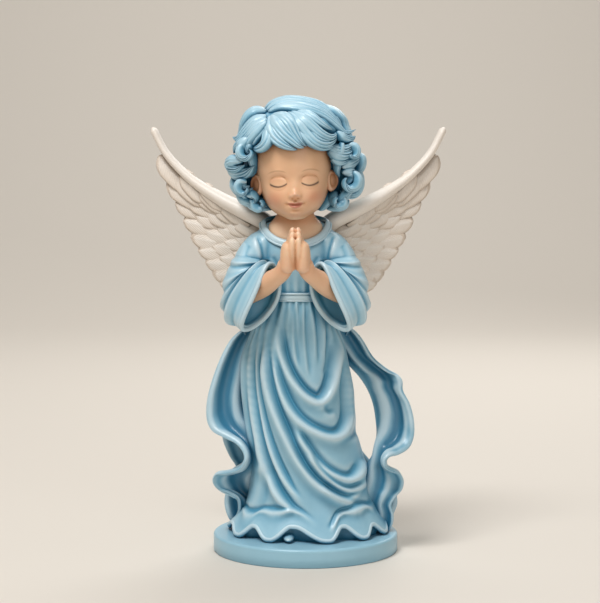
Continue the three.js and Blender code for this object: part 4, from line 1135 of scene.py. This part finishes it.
def painted(name, shading_tones, hollow, rough, wash=1.0):
    """Brushed acrylic over cast polyresin, sealed with a satin varnish.

    The colour follows the relief: painted shade in the hollows and a painted highlight on the crests,
    together with thin paint that pools in the hollows and wears off the crests."""
    material = bpy.data.materials.new(name)
    material.use_nodes = True
    tree = material.node_tree
    tree.nodes.clear()
    relief = add(tree, "ShaderNodeAttribute", attribute_name="relief").outputs["Fac"]
    place = add(tree, "ShaderNodeTexCoord").outputs["Object"]
    # Brush marks about 9 mm across shift the tone a little.
    brush = add(tree, "ShaderNodeTexNoise",
                {"Vector": place, "Scale": 1 / (BRUSH * MM), "Detail": 4.0, "Roughness": 0.6})
    shifted = add(tree, "ShaderNodeMath", {0: brush.outputs["Fac"], 1: 0.22, 2: -0.11},
                  operation="MULTIPLY_ADD")
    # The relief picks the tone, from painted shade in a hollow to a painted highlight on a crest.
    factor = add(tree, "ShaderNodeMath", {0: relief, 1: shifted.outputs[0]}, operation="ADD")
    colour = ramp(tree, factor.outputs[0], list(zip(SHADING_STOPS, shading_tones)))
    # Painted shade darkens the corners towards the hollow colour, up to about 8 mm deep, together with the
    # wash that pools where a brush can't wipe it.
    shelter = add(tree, "ShaderNodeAmbientOcclusion", {"Distance": CORNER_SHADE * MM}, samples=12, only_local=False)
    corner = add(tree, "ShaderNodeMapRange", {
        "Value": shelter.outputs["AO"], "From Min": 0.2, "From Max": 0.9, "To Min": wash, "To Max": 0.0})
    colour = mix(tree, corner.outputs[0], colour, hollow)
    # The casting's grain, about 0.9 mm across
    grain = add(tree, "ShaderNodeTexNoise", {"Vector": place, "Scale": 1 / (GRAIN * MM), "Detail": 3.0})
    sheen = add(tree, "ShaderNodeMapRange",
                {"Value": brush.outputs["Fac"], "To Min": rough - 0.06, "To Max": rough + 0.08})
    bump = add(tree, "ShaderNodeBump",
               {"Height": grain.outputs["Fac"], "Strength": 0.12, "Distance": 0.06 * MM})
    surface = {"Base Color": colour, "Roughness": sheen.outputs[0], "Normal": bump.outputs["Normal"]}
    return material, tree, surface


def finish(tree, surface, constants=SEALER):
    shader = add(tree, "ShaderNodeBsdfPrincipled", {**surface, **constants})
    add(tree, "ShaderNodeOutputMaterial", {"Surface": shader.outputs["BSDF"]})


def sealed(*coat, **settings):
    """A painted material with nothing but the sealer over it."""
    material, tree, surface = painted(*coat, **settings)
    finish(tree, surface)
    return material


def robe_paint():
    """Powder-blue acrylic on cast resin: pale on the crests as a painted highlight with chalky dry-brushing,
    teal in the hollows as painted shade with paint that pools there.
    """
    shading_tones = ("#4f93b2", "#80b3ca", "#9bc6d8", "#c2dbe5")
    return sealed("robe acrylic on cast polyresin", shading_tones, "#31809f", 0.38)


def shaded_mantle_paint():
    """The robe's blue made darker all over, as painted shade on the hanging cloth."""
    shading_tones = ("#3d7e9d", "#6a9fb8", "#86b4c8", "#bad4df")
    return sealed("mantle acrylic on cast polyresin", shading_tones, "#276f90", 0.38)


def hair_paint():
    """Deeper sky-blue acrylic on cast resin, lighter along the strands as a painted highlight with
    dry-brushing, and darker in the grooves and corners as a stronger painted shade.
    """
    shading_tones = ("#4088a8", "#79b0ca", "#a3cddf", "#cfe3ec")
    return sealed("hair acrylic on cast polyresin", shading_tones, "#1f6585", 0.36, wash=1.2)


def foot_paint():
    """The robe's blue in one even coat, a little greyer on the turned foot, with only a light painted shade
    in its corners.
    """
    shading_tones = ("#85b8cf", "#92c0d5", "#9cc8da", "#b8d8e5")
    return sealed("foot acrylic on cast polyresin", shading_tones, "#4f93b4", 0.36, wash=0.4)


def wing_paint():
    """Off-white acrylic, brown-grey in the furrows where a wash stays, darkened there by painted shade as
    well.
    """
    shading_tones = ("#a28b79", "#d4c2b0", "#eadccd", "#f8f1e9")
    material, tree, surface = painted("wing acrylic on cast polyresin", shading_tones, "#7c6752", 0.46)
    quill = add(tree, "ShaderNodeAttribute", attribute_name="quill").outputs["Fac"]
    aside = add(tree, "ShaderNodeAttribute", attribute_name="aside").outputs["Fac"]
    # Barbs run back from the quill at a slant, 1.9 mm apart: real ones are too fine for a cast or a render.
    away = add(tree, "ShaderNodeMath", {0: aside}, operation="ABSOLUTE")
    slant = add(tree, "ShaderNodeMath", {0: away.outputs[0], 1: 1.5, 2: quill}, operation="MULTIPLY_ADD")
    wave = add(tree, "ShaderNodeMath", {0: slant.outputs[0], 1: 2 * math.pi / BARBS}, operation="MULTIPLY")
    barb = add(tree, "ShaderNodeMath", {0: wave.outputs[0]}, operation="SINE")
    carve = add(tree, "ShaderNodeBump", {"Height": barb.outputs[0], "Strength": 0.3, "Distance": 0.2 * MM,
                                         "Normal": surface["Normal"]})
    # Thin darker lines in the furrows between the barbs are painted shade.
    barb_line_shade = add(tree, "ShaderNodeMapRange", {"Value": barb.outputs[0], "From Min": -1.0, "From Max": -0.2,
                                             "To Min": 0.14, "To Max": 0.0})
    surface["Base Color"] = mix(tree, barb_line_shade.outputs[0], surface["Base Color"], "#b5a799")
    surface["Normal"] = carve.outputs["Normal"]
    finish(tree, surface, {**SEALER, "Coat Weight": 0.08})
    return material


# The brushwork on the skin: what is painted, its colour and its strength
BRUSHWORK = (("blush", "#db8460", 0.55), ("lip", "#c46a58", 0.8), ("brow", "#a9744e", 0.75),
             ("ink", "#3a241b", 0.95))


def skin_paint():
    """Flesh-tone acrylic on cast resin, sprayed with a soft blush, with lips, lashes and brows by brush, and
    painted shade in its hollows and corners.
    """
    shading_tones = ("#cb9468", "#e5b48a", "#eec099", "#f6d3b1")
    material, tree, surface = painted("flesh acrylic on cast polyresin", shading_tones, "#a8683f", 0.42, wash=0.7)
    for name, colour, strength in BRUSHWORK:
        amount = add(tree, "ShaderNodeAttribute", attribute_name=name).outputs["Fac"]
        scaled = add(tree, "ShaderNodeMath", {0: amount, 1: strength}, operation="MULTIPLY", use_clamp=True)
        surface["Base Color"] = mix(tree, scaled.outputs[0], surface["Base Color"], colour)
    finish(tree, surface, {**SEALER, "Subsurface Weight": 0.06, "Subsurface Scale": 1.5 * MM})
    return material


def build():
    robe, flesh, cream = robe_paint(), skin_paint(), wing_paint()
    upper, cuffs = sleeve()
    panels = [panel(plan) for plan in (RIGHT_MANTLE, LEFT_MANTLE, RIGHT_TRAIN, LEFT_TRAIN, BACK_SWAG)]
    head_shells = [tilted(shell) for shell in (head(), *pair([ear()]))]
    feathers = wing()
    left_feathers = [mirrored(shell, WING_X) for shell in feathers]
    for mesh, paint in (
        (mesh_of("skirt", [*skirt(), toe()]), robe),
        (torso(upper), robe),
        (mesh_of("trim", collar() + belt()), robe),
        (mesh_of("cuffs", pair(cuffs)), robe),
        (mesh_of("mantle", panels), shaded_mantle_paint()),
        (mesh_of("head", [*head_shells, neck()]), flesh),
        (hands(), flesh),
        (mesh_of("hair", hair()), hair_paint()),
    ):
        piece(mesh, paint, "figure")
    piece(mesh_of("feathers_right", feathers), cream, "wing_right")
    piece(mesh_of("feathers_left", left_feathers), cream, "wing_left")
    piece(mesh_of("foot", [foot()]), foot_paint(), "base")


# Studio

CAMERA_PLACE = (-3.06, -1000, 220)
CAMERA_DIP = 4.7  # degrees below level
FOCAL_PIXELS = 1822
IMAGE_HEIGHT = 603
SENSOR = 36
# Each light's name, place, target and size in metres, and its power in watts
FIGURE = (0, 0, 0.13)
LIGHTS = [
    ("key", (-0.36, -0.56, 1.38), FIGURE, 0.55, 15.5),
    ("fill", (0.5, -1.15, 0.3), FIGURE, 0.9, 2.8),
    ("rim", (0.35, 0.9, 0.8), FIGURE, 0.6, 3.2),
    ("backdrop", (0, 1.1, 1.7), (0, 2.2, 0.2), 1.2, 14),
]
ROOM, ROOM_LIGHT, BOARD = "#e9e4dd", 0.34, "#ddd6cc"
BOARD_SIDE, BOARD_FRONT, BOARD_BACK, BOARD_BEND, BOARD_TOP = 9, -6, 1.2, 1.5, 8  # metres


def camera():
    made = bpy.data.objects.new("camera", bpy.data.cameras.new("camera"))
    made.location = [value * MM for value in CAMERA_PLACE]
    made.rotation_euler = (math.radians(90 - CAMERA_DIP), 0, 0)
    made.data.sensor_width = SENSOR
    made.data.lens = SENSOR * FOCAL_PIXELS / IMAGE_HEIGHT
    made.data.clip_start = 0.01
    bpy.context.scene.collection.objects.link(made)
    bpy.context.scene.camera = made


def lights():
    for name, place, target, size, power in LIGHTS:
        light = bpy.data.objects.new(name, bpy.data.lights.new(name, "AREA"))
        light.data.size = size
        light.data.energy = power
        light.location = place
        aim = np.array(target, float) - place
        light.rotation_euler = (math.acos(-aim[2] / np.linalg.norm(aim)), 0, math.atan2(-aim[0], aim[1]))
        bpy.context.scene.collection.objects.link(light)
    world = bpy.data.worlds.new("room")
    world.use_nodes = True
    background = world.node_tree.nodes["Background"]
    background.inputs["Color"].default_value = linear(ROOM)
    background.inputs["Strength"].default_value = ROOM_LIGHT
    bpy.context.scene.world = world


def board():
    """The board lies flat under the figure and curves up behind it."""
    bend = [(BOARD_BACK + BOARD_BEND * math.sin(a), BOARD_BEND * (1 - math.cos(a)))
            for a in np.linspace(0, math.pi / 2, 40)]
    line = [(BOARD_FRONT, 0), *bend, (BOARD_BACK + BOARD_BEND, BOARD_TOP)]
    mesh = bpy.data.meshes.new("floor")
    corners = [(x, y, z) for y, z in line for x in (-BOARD_SIDE, BOARD_SIDE)]
    mesh.from_pydata(corners, [], [(2 * k, 2 * k + 1, 2 * k + 3, 2 * k + 2) for k in range(len(line) - 1)])
    mesh.shade_smooth()
    floor = bpy.data.objects.new("floor", mesh)
    pale = bpy.data.materials.new("pale matt board")
    pale.use_nodes = True
    shader = pale.node_tree.nodes["Principled BSDF"]
    shader.inputs["Base Color"].default_value = linear(BOARD)
    shader.inputs["Roughness"].default_value = 0.7
    mesh.materials.append(pale)
    bpy.context.scene.collection.objects.link(floor)


camera()
lights()
board()
bpy.context.scene.view_settings.view_transform = "Standard"
build()
